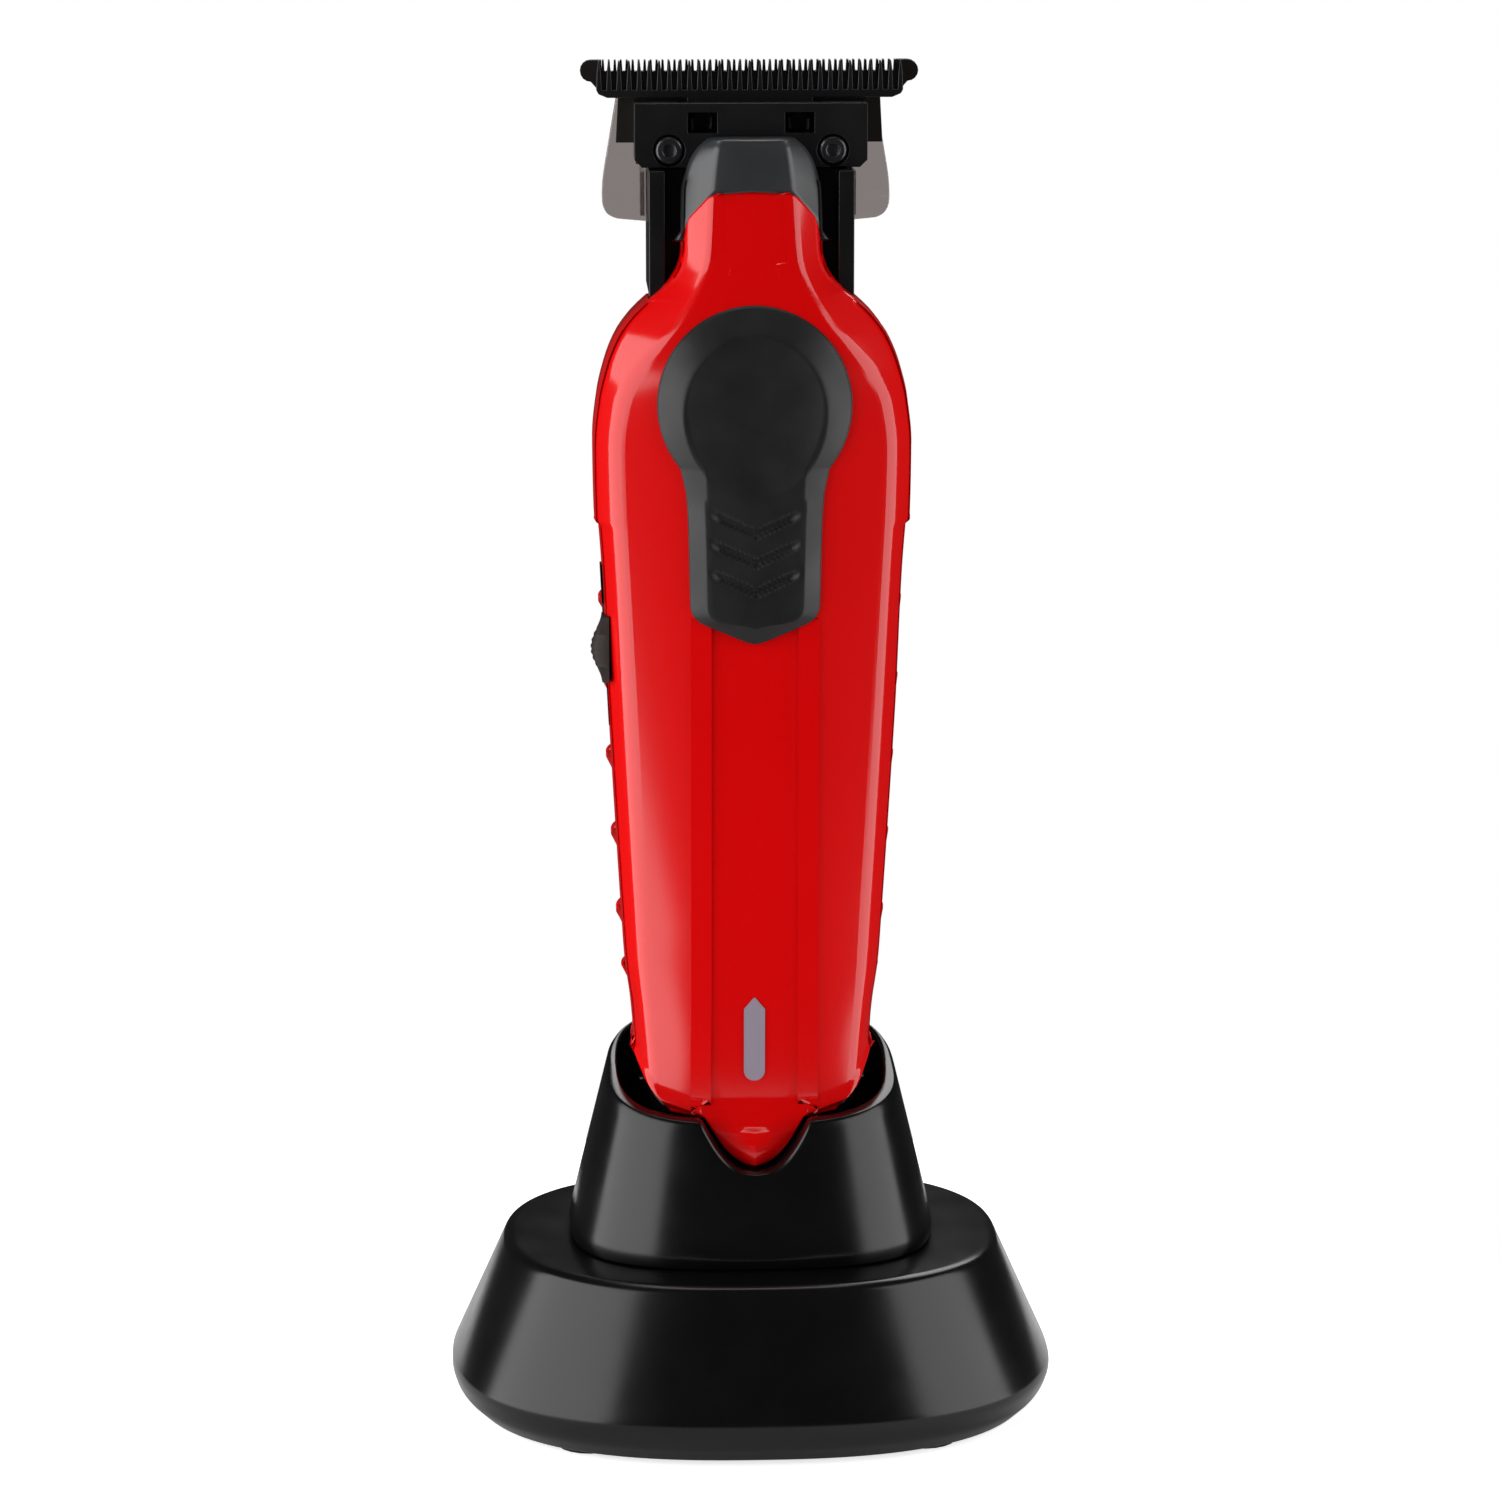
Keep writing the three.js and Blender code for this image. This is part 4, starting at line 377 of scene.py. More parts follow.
def eased_corners(points, radii, steps=5):
    """A polyline with its inner corners rounded; the point count stays the same for any sizes."""
    path = [Vector(points[0])]
    for index in range(1, len(points) - 1):
        before, here, after = (Vector(points[index + k]) for k in (-1, 0, 1))
        reach = min(radii[index - 1], (before - here).length * 0.5, (after - here).length * 0.55)
        start = here + (before - here).normalized() * reach if reach > 0 else here
        end = here + (after - here).normalized() * reach if reach > 0 else here
        for step in range(steps + 1):
            t = step / steps
            path.append(start * (1 - t) ** 2 + here * 2 * t * (1 - t) + end * t ** 2)
    path.append(Vector(points[-1]))
    return path


print("helpers ready")

# %% [markdown]
# ## The base of the stand
# The base is one moulded shell: a wide foot that leans in towards a flat deck, with a soft crease low down
# where it turns under. Its plan is a superellipse, squarer than an ellipse. A skin with one column per
# direction and one row per point of the side profile gives the crease exactly where it belongs.

# %% Base of the stand
DECK_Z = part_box("base_shell")[1].z / MM
BASE_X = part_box("base_shell")[1].x / MM
BASE_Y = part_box("base_shell")[1].y / MM
DECK_HALF_X = 34.3
UNDER_TOWER_X = 23.0
DEPTH_PER_WIDTH = 0.835
BASE_SQUARENESS = 2.5


def oval(index, count, half_x, half_y, exponent):
    """One corner of a superellipse, counted from the front to the right."""
    turn = 2 * math.pi * index / count
    return half_x * power(math.sin(turn), 2 / exponent), -half_y * power(math.cos(turn), 2 / exponent)


def base_profile():
    """Half width and height up the side, from inside the bottom lip to under the tower."""
    corners = [
        (BASE_X - 5.6, 3.0), (BASE_X - 5.2, 0.8), (BASE_X - 3.9, 0.8),
        (BASE_X - 0.9, 3.6), (BASE_X - 0.05, 6.4),
        (DECK_HALF_X, DECK_Z), (UNDER_TOWER_X, DECK_Z),
    ]
    return eased_corners(corners, [0.4, 1.2, 2.4, 1.0, 1.3], steps=6)


BASE_PROFILE = base_profile()
BASE_COLUMNS = 144


def base_place(column, row):
    half_x, height = BASE_PROFILE[row]
    half_y = BASE_Y - (BASE_X - half_x) * DEPTH_PER_WIDTH
    x, y = oval(column, BASE_COLUMNS, half_x, half_y, BASE_SQUARENESS)
    return x, y, height


base_bm = skin(BASE_COLUMNS, len(BASE_PROFILE), base_place, loop=True)
outward(base_bm)
keep(base_bm, "stand_base", SATIN_BLACK, "stand", ["base_shell"], angle=50)

# %% [markdown]
# ## The tower and its cup
# The tower is a separate moulding that the clipper drops into. Its rim slants down towards the front and
# dips in a notch for the clipper's chin. Each column of the skin climbs the outside, rolls over the rim at
# its own height, and goes down inside to the floor, so the wall has its real thickness all round.

# %% Tower
TOWER_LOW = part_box("cradle_tower")[0].z / MM
RIM_MID = DECK_Z + 24.2
RIM_SLOPE = 0.235
CUP_FLOOR = DECK_Z + 3.6
NOTCH_HALF = 7.3
NOTCH_DEPTH = 7.0
TOWER_COLUMNS = 240
OUTER_ROWS, RIM_ROWS, INNER_ROWS, FLOOR_ROWS = 16, 8, 12, 3
TOWER_FOOT_X, TOWER_FOOT_Y = 25.9, 21.9
TOWER_RIM_X, TOWER_RIM_Y = 20.1, 17.1
CUP_FOOT_X, CUP_FOOT_Y = 16.0, 13.4
CUP_RIM_X, CUP_RIM_Y = 18.6, 15.3
TOWER_SQUARENESS, CUP_SQUARENESS = 2.8, 3.2
TUCK, TUCK_FADE = 0.7, 0.45
RIM_ROLL = 0.55


def tower_outer(column, height):
    share = (height - TOWER_LOW) / (RIM_MID - TOWER_LOW)
    tuck = TUCK * math.exp(-max(0.0, height - TOWER_LOW) / TUCK_FADE)
    half_x = lerp(TOWER_FOOT_X, TOWER_RIM_X, share) - tuck
    half_y = lerp(TOWER_FOOT_Y, TOWER_RIM_Y, share) - tuck
    return oval(column, TOWER_COLUMNS, half_x, half_y, TOWER_SQUARENESS)


def tower_inner(column, height):
    share = min(1.0, (height - CUP_FLOOR) / (RIM_MID - CUP_FLOOR))
    half_x = lerp(CUP_FOOT_X, CUP_RIM_X, share)
    half_y = lerp(CUP_FOOT_Y, CUP_RIM_Y, share)
    return oval(column, TOWER_COLUMNS, half_x, half_y, CUP_SQUARENESS)


def rim_height(column):
    x, y = tower_outer(column, RIM_MID)
    rim = RIM_MID + RIM_SLOPE * y
    across = abs(x) / NOTCH_HALF
    if y < 0 and across < 1:
        rim -= NOTCH_DEPTH * (1 - across ** 2.2) ** 1.15
    return rim


def tower_place(column, row):
    rim = rim_height(column)
    if row < OUTER_ROWS:
        height = lerp(TOWER_LOW, rim - RIM_ROLL, row / (OUTER_ROWS - 1))
        return (*tower_outer(column, height), height)
    row -= OUTER_ROWS
    if row < RIM_ROWS:
        turn = math.pi * (row + 1) / (RIM_ROWS + 1)
        outer = Vector(tower_outer(column, rim))
        inner = Vector(tower_inner(column, rim))
        wall = (outer - inner).length
        flat = max(0.0, wall - 2 * RIM_ROLL) / wall
        side = 0.5 - 0.5 * flat if turn < math.pi / 2 else 0.5 + 0.5 * flat
        share = side - (0.5 - 0.5 * flat) * math.cos(turn)
        share = min(1.0, max(0.0, share))
        spot = outer.lerp(inner, share)
        return spot.x, spot.y, rim - RIM_ROLL + RIM_ROLL * math.sin(turn)
    row -= RIM_ROWS
    if row < INNER_ROWS:
        height = lerp(rim - RIM_ROLL, CUP_FLOOR, row / (INNER_ROWS - 1))
        return (*tower_inner(column, height), height)
    row -= INNER_ROWS
    x, y = tower_inner(column, CUP_FLOOR)
    keep_share = 1 - (row + 1) / FLOOR_ROWS
    return x * keep_share, y * keep_share, CUP_FLOOR


tower_bm = skin(TOWER_COLUMNS, OUTER_ROWS + RIM_ROWS + INNER_ROWS + FLOOR_ROWS, tower_place, loop=True)
outward(tower_bm)
keep(tower_bm, "stand_tower", SATIN_BLACK, "stand", ["cradle_tower"], angle=50)

# %% [markdown]
# ## The clipper's body
# The red shells share one set of sections up the body: half width, half width of the flat front, where the
# front and back lie, and how deep the side facet is. Between the stations the values follow a smooth curve,
# so the shoulders roll instead of stepping.

# %% Sections of the body
# height, half width, half width of the front face, front, back, depth of the side facet
STATIONS = [
    (28.3, 15.2, 9.5, -12.0, 11.8, 6.5),
    (46.0, 16.4, 14.4, -13.0, 12.6, 6.5),
    (75.0, 18.25, 16.2, -14.2, 14.1, 6.5),
    (100.0, 19.65, 17.4, -15.0, 15.2, 6.5),
    (126.0, 20.9, 18.7, -15.63, 15.92, 6.5),
    (127.0, 21.45, 18.75, -15.64, 15.93, 6.5),
    (137.0, 21.6, 19.0, -15.7, 16.0, 6.5),
    (143.2, 21.0, 18.2, -15.5, 15.8, 6.5),
    (148.0, 19.85, 15.6, -15.0, 15.2, 6.5),
    (151.5, 18.4, 12.6, -14.4, 14.6, 6.4),
    (154.3, 16.4, 10.1, -13.6, 13.9, 6.0),
    (156.5, 14.1, 8.7, -12.9, 13.2, 5.5),
    (158.0, 12.3, 7.9, -12.4, 12.6, 5.1),
    (159.5, 11.0, 7.2, -11.9, 12.0, 4.7),
    (161.0, 10.1, 6.6, -11.4, 11.5, 4.4),
    (163.0, 9.6, 6.1, -10.9, 11.0, 4.2),
    (171.0, 9.4, 5.5, -9.4, 9.5, 4.0),
    (175.0, 8.45, 5.1, -8.8, 9.0, 3.6),
    (177.3, 7.0, 4.8, -8.4, 8.6, 3.0),
    (178.2, 5.9, 4.5, -8.0, 8.2, 2.4),
]


def section(height):
    """The body's sizes at a height, by a curve through the stations that never overshoots them."""
    height = min(max(height, STATIONS[0][0]), STATIONS[-1][0])
    upper = next(i for i in range(1, len(STATIONS)) if STATIONS[i][0] >= height)
    low, high = STATIONS[upper - 1], STATIONS[upper]
    span = high[0] - low[0]
    t = (height - low[0]) / span

    def slope(index, key):
        if index <= 0 or index >= len(STATIONS) - 1:
            return 0.0
        a, b, c = STATIONS[index - 1], STATIONS[index], STATIONS[index + 1]
        left = (b[key] - a[key]) / (b[0] - a[0])
        right = (c[key] - b[key]) / (c[0] - b[0])
        return 0.0 if left * right <= 0 else 2 * left * right / (left + right)

    values = []
    for key in range(1, 6):
        m0, m1 = slope(upper - 1, key) * span, slope(upper, key) * span
        values.append((2 * t ** 3 - 3 * t ** 2 + 1) * low[key] + (t ** 3 - 2 * t ** 2 + t) * m0
                      + (3 * t ** 2 - 2 * t ** 3) * high[key] + (t ** 3 - t ** 2) * m1)
    return values


SEAM_Y = 1.0
SEAM_GAP = 0.04
LID_LOW_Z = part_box("front_lid")[0].z / MM
HOUSING_TOP_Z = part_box("rear_housing")[1].z / MM
print("body half width at the thumb rest, mm", round(section(143.0)[0], 2))

# %% [markdown]
# ## Front shell
# The front shell has a flat face between two long facets, a shallow channel down the middle that ends in a
# point, and a chin that sits in the stand's notch. If the columns of the skin follow the channel and the
# facet edges, the edges stay crisp with no cutting. Each section is a polyline with eased corners.

# %% Front shell
CHANNEL_LOW, CHANNEL_HIGH = 42.8, 116.0
CHIN_TIP_Z = 37.9
CHIN_RISE = 6.6
CHIN_CLEARANCE = 0.25
SHOULDER_END_Z = 156.55


def chin_half(height):
    """Half width of the chin's outline: the notch of the stand, less a little clearance."""
    drop = min(1.0, max(0.0, (CHIN_TIP_Z + CHIN_RISE - height) / CHIN_RISE))
    return (NOTCH_HALF - CHIN_CLEARANCE) * (1 - drop ** 0.87) ** 0.4545


def lid_back(height):
    """Where the front shell's back edge lies: at the seam, and further forward beside the head."""
    if height < SHOULDER_END_Z:
        return SEAM_Y - SEAM_GAP
    return lerp(-5.9, -1.8, ease((height - 158.6) / 0.8))


LIP_Z = 44.7
LIP_FLARE, LIP_STEP = 0.4, 1.8
LIP_ZONE_TOP = 60.0
CROWN, CROWN_AT_NECK = 3.4, 0.9
CORNER_STEPS = 6
CROWN_STEPS = 12
CHANNEL_HALF, CHANNEL_FLOOR_HALF, CHANNEL_DEPTH = 7.3, 4.9, 0.85


def lip(height):
    """A small flare at the lower edge of the shells, and the step in below it."""
    flare = LIP_FLARE * ease((LIP_Z + 2.2 - height) / 2.2) if height > LIP_Z else LIP_FLARE
    return flare - LIP_STEP * ease((LIP_Z - height) / 0.7)


def crowned(x, height):
    """The y of the front face: crowned across, a little prouder in the middle than at its edges."""
    _, f, front, _, _ = section(height)
    crown = lerp(CROWN, CROWN_AT_NECK, ease((height - 146.0) / 12.0)) * min(1.0, (f / 16.0)) ** 2
    return front - crown * 0.36 + crown * (x / f) ** 2


RIB_FIRST, RIB_PITCH, RIB_COUNT = 59.4, 11.0, 6
RIB_HEIGHTS = [RIB_FIRST + i * RIB_PITCH for i in range(RIB_COUNT)]
RIB_PROUD = 0.7


def rib_lift(height):
    """How far a grip rib stands proud at this height."""
    nearest = min(abs(height - rib) for rib in RIB_HEIGHTS)
    return RIB_PROUD * (1 - ease((nearest - 0.35) / 0.45))


def lid_half_section(height):
    """The front shell from its middle line to its back edge, at a height."""
    w, f, front, _, facet = section(height)
    low = lip(height) if height < LIP_ZONE_TOP else 0.0
    if height < LIP_ZONE_TOP:
        opened = ease((height - CHANNEL_LOW) / 2.8)
    else:
        opened = ease((CHANNEL_HIGH - height) / 3.0)
    outer = min(CHANNEL_HALF, f * 0.7)
    up = 1 - max(0.02, min(1.0, (height - CHANNEL_LOW) / 6.0))
    inner = min(CHANNEL_FLOOR_HALF, f * 0.5) * (1 - up ** 2) ** 0.5
    if height < CHIN_TIP_Z + CHIN_RISE:
        outer = max(0.3, chin_half(height))
    faceted = ease((CHANNEL_LOW + 0.6 - height) / 1.2)
    inner = lerp(min(inner, outer * 0.7), outer * 0.5, faceted)
    out = 1.3 * ease((46.0 - height) / 6.0) * ease((height - CHIN_TIP_Z + 0.3) / 0.5)
    flare = low if LIP_Z < height < LIP_ZONE_TOP else lip(LIP_Z) * ease((LIP_ZONE_TOP - height) / 8.0)
    body = max(height, LIP_Z)
    middle = crowned(0, body) - out - flare
    bank = crowned(outer, body) - out - flare
    floor_y = middle + CHANNEL_DEPTH * opened
    ridge_y = middle - 1.1
    keel = lerp(floor_y + 0.05, lerp(ridge_y, bank, inner / outer), faceted)
    shelf = 0.05 + 0.15 * ease((LIP_ZONE_TOP - height) / 8.0)
    back = lid_back(height)
    points = [
        (0, lerp(floor_y, ridge_y, faceted)), (inner, keel), (outer - 0.05, bank),
        (outer + shelf, crowned(outer + shelf, height) - low), (f + low * 0.6, crowned(f, height) - low),
        (w + low - 0.2, min(front + facet, back - 0.9)), (w + low, min(front + facet + 2.5, back - 0.3)),
        (w + low + rib_lift(height), back),
    ]
    crease = lerp(1.7, 0.9, ease((height - 146.0) / 10.0))
    path = eased_corners(points, [0.35, 0.35, 0.2, crease, 2.6, 1.5], steps=CORNER_STEPS)
    return crown_between(path, height, low)


def crown_between(path, height, low):
    """Adds points where the facet's crease starts, on the crowned face."""
    spot = 3 * (CORNER_STEPS + 1) + 1
    left, right = path[spot], path[spot + 1]
    ends = crowned(left.x, height) - low, crowned(right.x, height) - low
    added = []
    for step in range(1, CROWN_STEPS):
        t = step / CROWN_STEPS
        x = lerp(left.x, right.x, t)
        added.append(Vector((x, lerp(left.y, right.y, t) + crowned(x, height) - low - lerp(*ends, t))))
    return path[:spot + 1] + added + path[spot + 1:]


def both_sides(half):
    """Mirrors a half section that starts on the middle line."""
    return [Vector((-p.x, p.y)) for p in reversed(half[1:])] + half


ARCH_FLAT, ARCH_DROP = 5.2, 8.4


def lid_top(x):
    """The arched top edge of the front shell: nearly flat in the middle, then down to the sides."""
    x = abs(x)
    if x <= ARCH_FLAT:
        return 171.3 - 0.35 * (x / ARCH_FLAT) ** 2
    return 170.95 - ARCH_DROP * (1 - (1 - min(0.999, (x - ARCH_FLAT) / 4.35) ** 1.6) ** 0.5)


NECK_Z = 160.5
LIP_ROWS = [LIP_Z + d for d in (-1.2, -0.8, -0.6, -0.4, -0.2, 0, 0.2, 0.5, 0.8, 1.2, 1.6)]


def lid_heights():
    """Rows of the front shell, packed where it turns sharply."""
    base = [LID_LOW_Z + i * (NECK_Z - LID_LOW_Z) / 150 for i in range(151)]
    fine = [CHIN_TIP_Z - 0.6 + i * 0.3 for i in range(52)] + [125.4 + i * 0.15 for i in range(16)]
    fine += LIP_ROWS + [156.5, 156.6, 158.8, 159.2]
    fine += [rib + d for rib in RIB_HEIGHTS for d in (-0.8, -0.6, -0.45, 0, 0.45, 0.6, 0.8)]
    return sorted(set(round(z, 3) for z in base + fine))


LID_HEIGHTS = lid_heights()
NECK_ROWS = 22
LID_COLUMNS = len(both_sides(lid_half_section(80.0)))
NECK_EDGE = [lid_top(p.x) for p in both_sides(lid_half_section(167.0))]


LIP_CLIMB = 7.4


def lip_rise(x, height):
    """The lower edge climbs from the front towards the sides."""
    side = min(1.0, max(0.0, (abs(x) - 7.0) / 9.5))
    near = ease((68.0 - height) / 20.0) * ease((height - LID_LOW_Z) / 8.0)
    return LIP_CLIMB * side ** 3.1 * near


def lid_place(column, row):
    if row < len(LID_HEIGHTS):
        height = LID_HEIGHTS[row]
    else:
        share = (row - len(LID_HEIGHTS) + 1) / NECK_ROWS
        height = lerp(NECK_Z, NECK_EDGE[column], share)
    spot = both_sides(lid_half_section(height))[column]
    return spot.x, spot.y, height + lip_rise(spot.x, height)


def below_lip(face):
    """True where the shell has stepped in under its lower edge, away from the chin."""
    middle = face.calc_center_median() / MM
    if middle.z > LIP_ZONE_TOP:
        return False
    height = middle.z
    for _ in range(4):
        height = middle.z - lip_rise(middle.x, height)
    return height < LIP_Z - 0.75 and (abs(middle.x) > chin_half(height) + 0.26 or middle.y > -10)


def part_of_skin(columns, rows, place, keep_low):
    """The skin above the lip, or only what lies below it."""
    bm = skin(columns, rows, place)
    bmesh.ops.recalc_face_normals(bm, faces=bm.faces)
    gone = [face for face in bm.faces if below_lip(face) != keep_low]
    bmesh.ops.delete(bm, geom=gone, context="FACES")
    return bm


LID_ROWS = len(LID_HEIGHTS) + NECK_ROWS
lid_bm = part_of_skin(LID_COLUMNS, LID_ROWS, lid_place, False)


def facing_out(bm, axis, sign):
    """Turns the skin over if most of it faces the wrong way along an axis."""
    bm.normal_update()
    total = sum(f.normal[axis] * f.calc_area() for f in bm.faces)
    if total * sign < 0:
        bmesh.ops.reverse_faces(bm, faces=bm.faces)


facing_out(lid_bm, 1, -1)
lid = keep(lid_bm, "front_shell", GLOSS_RED, "clipper", ["front_lid"], angle=32)


def give_wall(thing, thickness):
    """Gives a skin its wall, inward, as a modifier."""
    wall = thing.modifiers.new("wall", "SOLIDIFY")
    wall.thickness = thickness * MM
    wall.offset = -1
    wall.use_even_offset = False
    return wall


give_wall(lid, 1.4)

# %% [markdown]
# ## Lower end of the clipper
# Below the lip the clipper steps in to a plug that drops into the cup. The step in is real shape; the plug's
# satin black is painted shade, standing in for the dark gap between the red shell and the cup. It is the low
# part of the same skins as the shells. The split goes by each face's own place, so at the back its edge is
# stepped, which the cup hides while the clipper is docked. A plug with a skin of its own would have a clean
# edge.

# %% Front half of the plug
painted_shade_plug_bm = part_of_skin(LID_COLUMNS, LID_ROWS, lid_place, True)
facing_out(painted_shade_plug_bm, 1, -1)
# The satin black below the lip is painted shade for the gap between the red shell and the cup.
painted_shade_plug = keep(painted_shade_plug_bm, "painted_shade_plug_front", SATIN_BLACK, "clipper", [], angle=40)
give_wall(painted_shade_plug, 1.2)

# %% [markdown]
# ## Rear shell
# The rear shell closes the body. Grip ribs stand 0.7 mm proud on both sides and end just past the seam.
# Rows are packed round each rib, so a rib is only a small outward step of a few rows.

# %% Rear shell
BACK_POINTS = 30


def housing_half(height):
    """The rear shell from the seam to the middle of the back, at a height."""
    w, _, _, back, _ = section(height)
    low = lip(height) if height < LIP_ZONE_TOP else 0
    path = []
    for step in range(BACK_POINTS + 1):
        turn = (step / BACK_POINTS) * math.pi / 2
        reach = back - SEAM_Y - SEAM_GAP + low
        squareness = lerp(2.6, 2.0, ease((height - 135.0) / 12.0))
        y = SEAM_Y + SEAM_GAP + reach * power(math.sin(turn), 2 / squareness)
        side = 1 - ease((y - 8.0) / 2.5)
        rolled = min(1.0, max(0.0, (height - 141.0) / 15.5))
        inset = 4.0 * (1 - (1 - rolled ** 2) ** 0.5) * ease((y - 1.1) / 3.0)
        x = 0.0
        if step < BACK_POINTS:
            x = (w - inset + low + rib_lift(height) * side) * power(math.cos(turn), 2 / squareness)
        path.append(Vector((x, y)))
    return path


def housing_heights():
    base = [LID_LOW_Z + i * (HOUSING_TOP_Z - LID_LOW_Z) / 110 for i in range(111)]
    steps = (-0.95, -0.8, -0.6, -0.45, -0.3, 0, 0.3, 0.45, 0.6, 0.8, 0.95)
    near = [rib + d for rib in RIB_HEIGHTS for d in steps]
    return sorted(set(round(z, 3) for z in base + near + LIP_ROWS))


HOUSING_HEIGHTS = housing_heights()
DECK_ROWS = 5


def housing_place(column, row):
    height = HOUSING_HEIGHTS[min(row, len(HOUSING_HEIGHTS) - 1)]
    half = housing_half(height)
    path = half + [Vector((-p.x, p.y)) for p in reversed(half[:-1])]
    spot = path[column]
    beyond = row - len(HOUSING_HEIGHTS) + 1
    if beyond > 0:
        share = 1 - 0.13 * beyond
        spot = Vector((spot.x * share, 2.5 + (spot.y - 2.5) * share))
    return spot.x, spot.y, height + lip_rise(20, height)


HOUSING_COLUMNS, HOUSING_ROWS = 2 * BACK_POINTS + 1, len(HOUSING_HEIGHTS) + DECK_ROWS
housing_bm = part_of_skin(HOUSING_COLUMNS, HOUSING_ROWS, housing_place, False)
facing_out(housing_bm, 1, 1)
housing = keep(housing_bm, "rear_shell", GLOSS_RED, "clipper", ["rear_housing"], angle=32)
give_wall(housing, 1.4)
painted_shade_plug_back_bm = part_of_skin(HOUSING_COLUMNS, HOUSING_ROWS, housing_place, True)
facing_out(painted_shade_plug_back_bm, 1, 1)
# The satin black below the lip is painted shade for the gap between the red shell and the cup.
painted_shade_plug_back = keep(painted_shade_plug_back_bm, "painted_shade_plug_back", SATIN_BLACK, "clipper", [], angle=40)
give_wall(painted_shade_plug_back, 1.2)

# %% [markdown]
# ## Nose collar
# A satin grey cap carries the body's facets on over the drive. It starts on the arched edge of the red
# shell, a hair away from it, and rounds over at the top.

# %% Nose collar
NOSE_TOP_Z = 178.2
NOSE_ROWS = 20
NOSE_BEND_Z = 173.4
NOSE_SHRINK = [1.0, 0.93, 0.8, 0.4, 0.0]
NOSE_RISE = [0, 0.12, 0.2, 0.22, 0.22]


def nose_half_section(height):
    w, f, front, _, facet = section(height)
    points = [(0, front - 0.45), (f, front), (w - 0.2, front + facet), (w, front + facet + 1.2),
              (w, -1.9 if height < NOSE_BEND_Z else -3.9)]
    return eased_corners(points, [0.6, 2.0, 0.6], steps=6)


NOSE_COLUMNS = len(both_sides(nose_half_section(170.0)))
NOSE_EDGE = [lid_top(p.x) + 0.25 for p in both_sides(nose_half_section(167.0))]


def nose_place(column, row):
    share = min(1.0, row / NOSE_ROWS)
    height = lerp(NOSE_EDGE[column], NOSE_TOP_Z, share ** 0.8)
    spot = both_sides(nose_half_section(height))[column]
    beyond = max(0, row - NOSE_ROWS)
    shrink = NOSE_SHRINK[beyond]
    return spot.x * shrink, -4.2 + (spot.y + 4.2) * shrink, height + NOSE_RISE[beyond] - 0.22


nose_bm = skin(NOSE_COLUMNS, NOSE_ROWS + 5, nose_place)
outward(nose_bm)
facing_out(nose_bm, 1, -1)
nose = keep(nose_bm, "nose_cap", COLLAR_GREY, "clipper", ["nose_collar"], angle=40)
give_wall(nose, 1.0)

# %% [markdown]
# ## Thumb rest
# The black pad is soft rubber pressed into the shell: a round head with a sloping border and a hollow for
# the thumb, and a tail with three chevron grooves. Each column runs from a point of the outline to a spine
# on the middle line, so the rings keep the key shape, and the height of every vertex comes from how far in
# it lies.

# %% Thumb rest
HEAD_Z, HEAD_R = 143.4, 13.1
PAD_COLUMNS, PAD_ROWS = 400, 64
CHEVRON_TIPS = (126.3, 122.3, 118.3)
CHEVRON_SLOPE, CHEVRON_DEPTH = 0.46, 0.5
PAD_EDGE, PAD_TOP = 0.35, 1.25
HOLLOW_DEPTH = 1.25


def pad_outline():
    """The key-shaped outline, counted from the tip of the tail."""
    corners = [(0, 111.1), (1.2, 111.35), (8.74, 114.5), (9.04, 128.2), (9.3, 131.6)]
    path = eased_corners(corners, [1.2, 2.0, 4.0], steps=8)
    start = math.atan2(135.0 - HEAD_Z, 10.0)
    for step in range(41):
        turn = lerp(start, math.pi / 2, step / 40)
        path.append(Vector((HEAD_R * math.cos(turn), HEAD_Z + HEAD_R * math.sin(turn))))
    return path


def evenly(path, count):
    """Points at even distances along a polyline."""
    lengths = [0.0]
    for a, b in zip(path, path[1:]):
        lengths.append(lengths[-1] + (b - a).length)
    points = []
    for index in range(count):
        target = lengths[-1] * index / (count - 1)
        k = max(i for i in range(len(lengths)) if lengths[i] <= target + 1e-9)
        k = min(k, len(path) - 2)
        t = (target - lengths[k]) / max(1e-9, lengths[k + 1] - lengths[k])
        points.append(path[k].lerp(path[k + 1], t))
    return points


PAD_HALF = evenly(pad_outline(), PAD_COLUMNS // 2 + 1)
PAD_LOOP = PAD_HALF + [Vector((-p.x, p.y)) for p in reversed(PAD_HALF[1:-1])]


def front_surface(x, height):
    """The y of the shell's face near the middle."""
    return crowned(min(abs(x), 16.0), height)


def chevron(x, height):
    """How deep the chevron grooves are here."""
    deepest = 0.0
    for tip in CHEVRON_TIPS:
        line = tip + abs(x) * CHEVRON_SLOPE
        fade = 1 - ease((abs(x) - 4.6) / 1.8)
        deepest = max(deepest, CHEVRON_DEPTH * (1 - ease((abs(height - line) - 0.3) / 0.45)) * fade)
    return deepest


def pad_height(x, height, inward):
    """How proud the pad stands, from the distance in from its outline."""
    head = ease((height - 129.0) / 10.0)
    border = lerp(2.3, 3.5, head)
    rise = PAD_EDGE * inward / 0.12
    if inward > 0.12:
        rise = lerp(PAD_EDGE, PAD_TOP, min(1.0, inward / border))
    across = math.hypot(x / 9.6, (height - 142.0) / 10.8)
    hollow = HOLLOW_DEPTH * (1 - min(1.0, across) ** 2.4) if across < 1 else 0.0
    return rise - hollow - chevron(x, height)


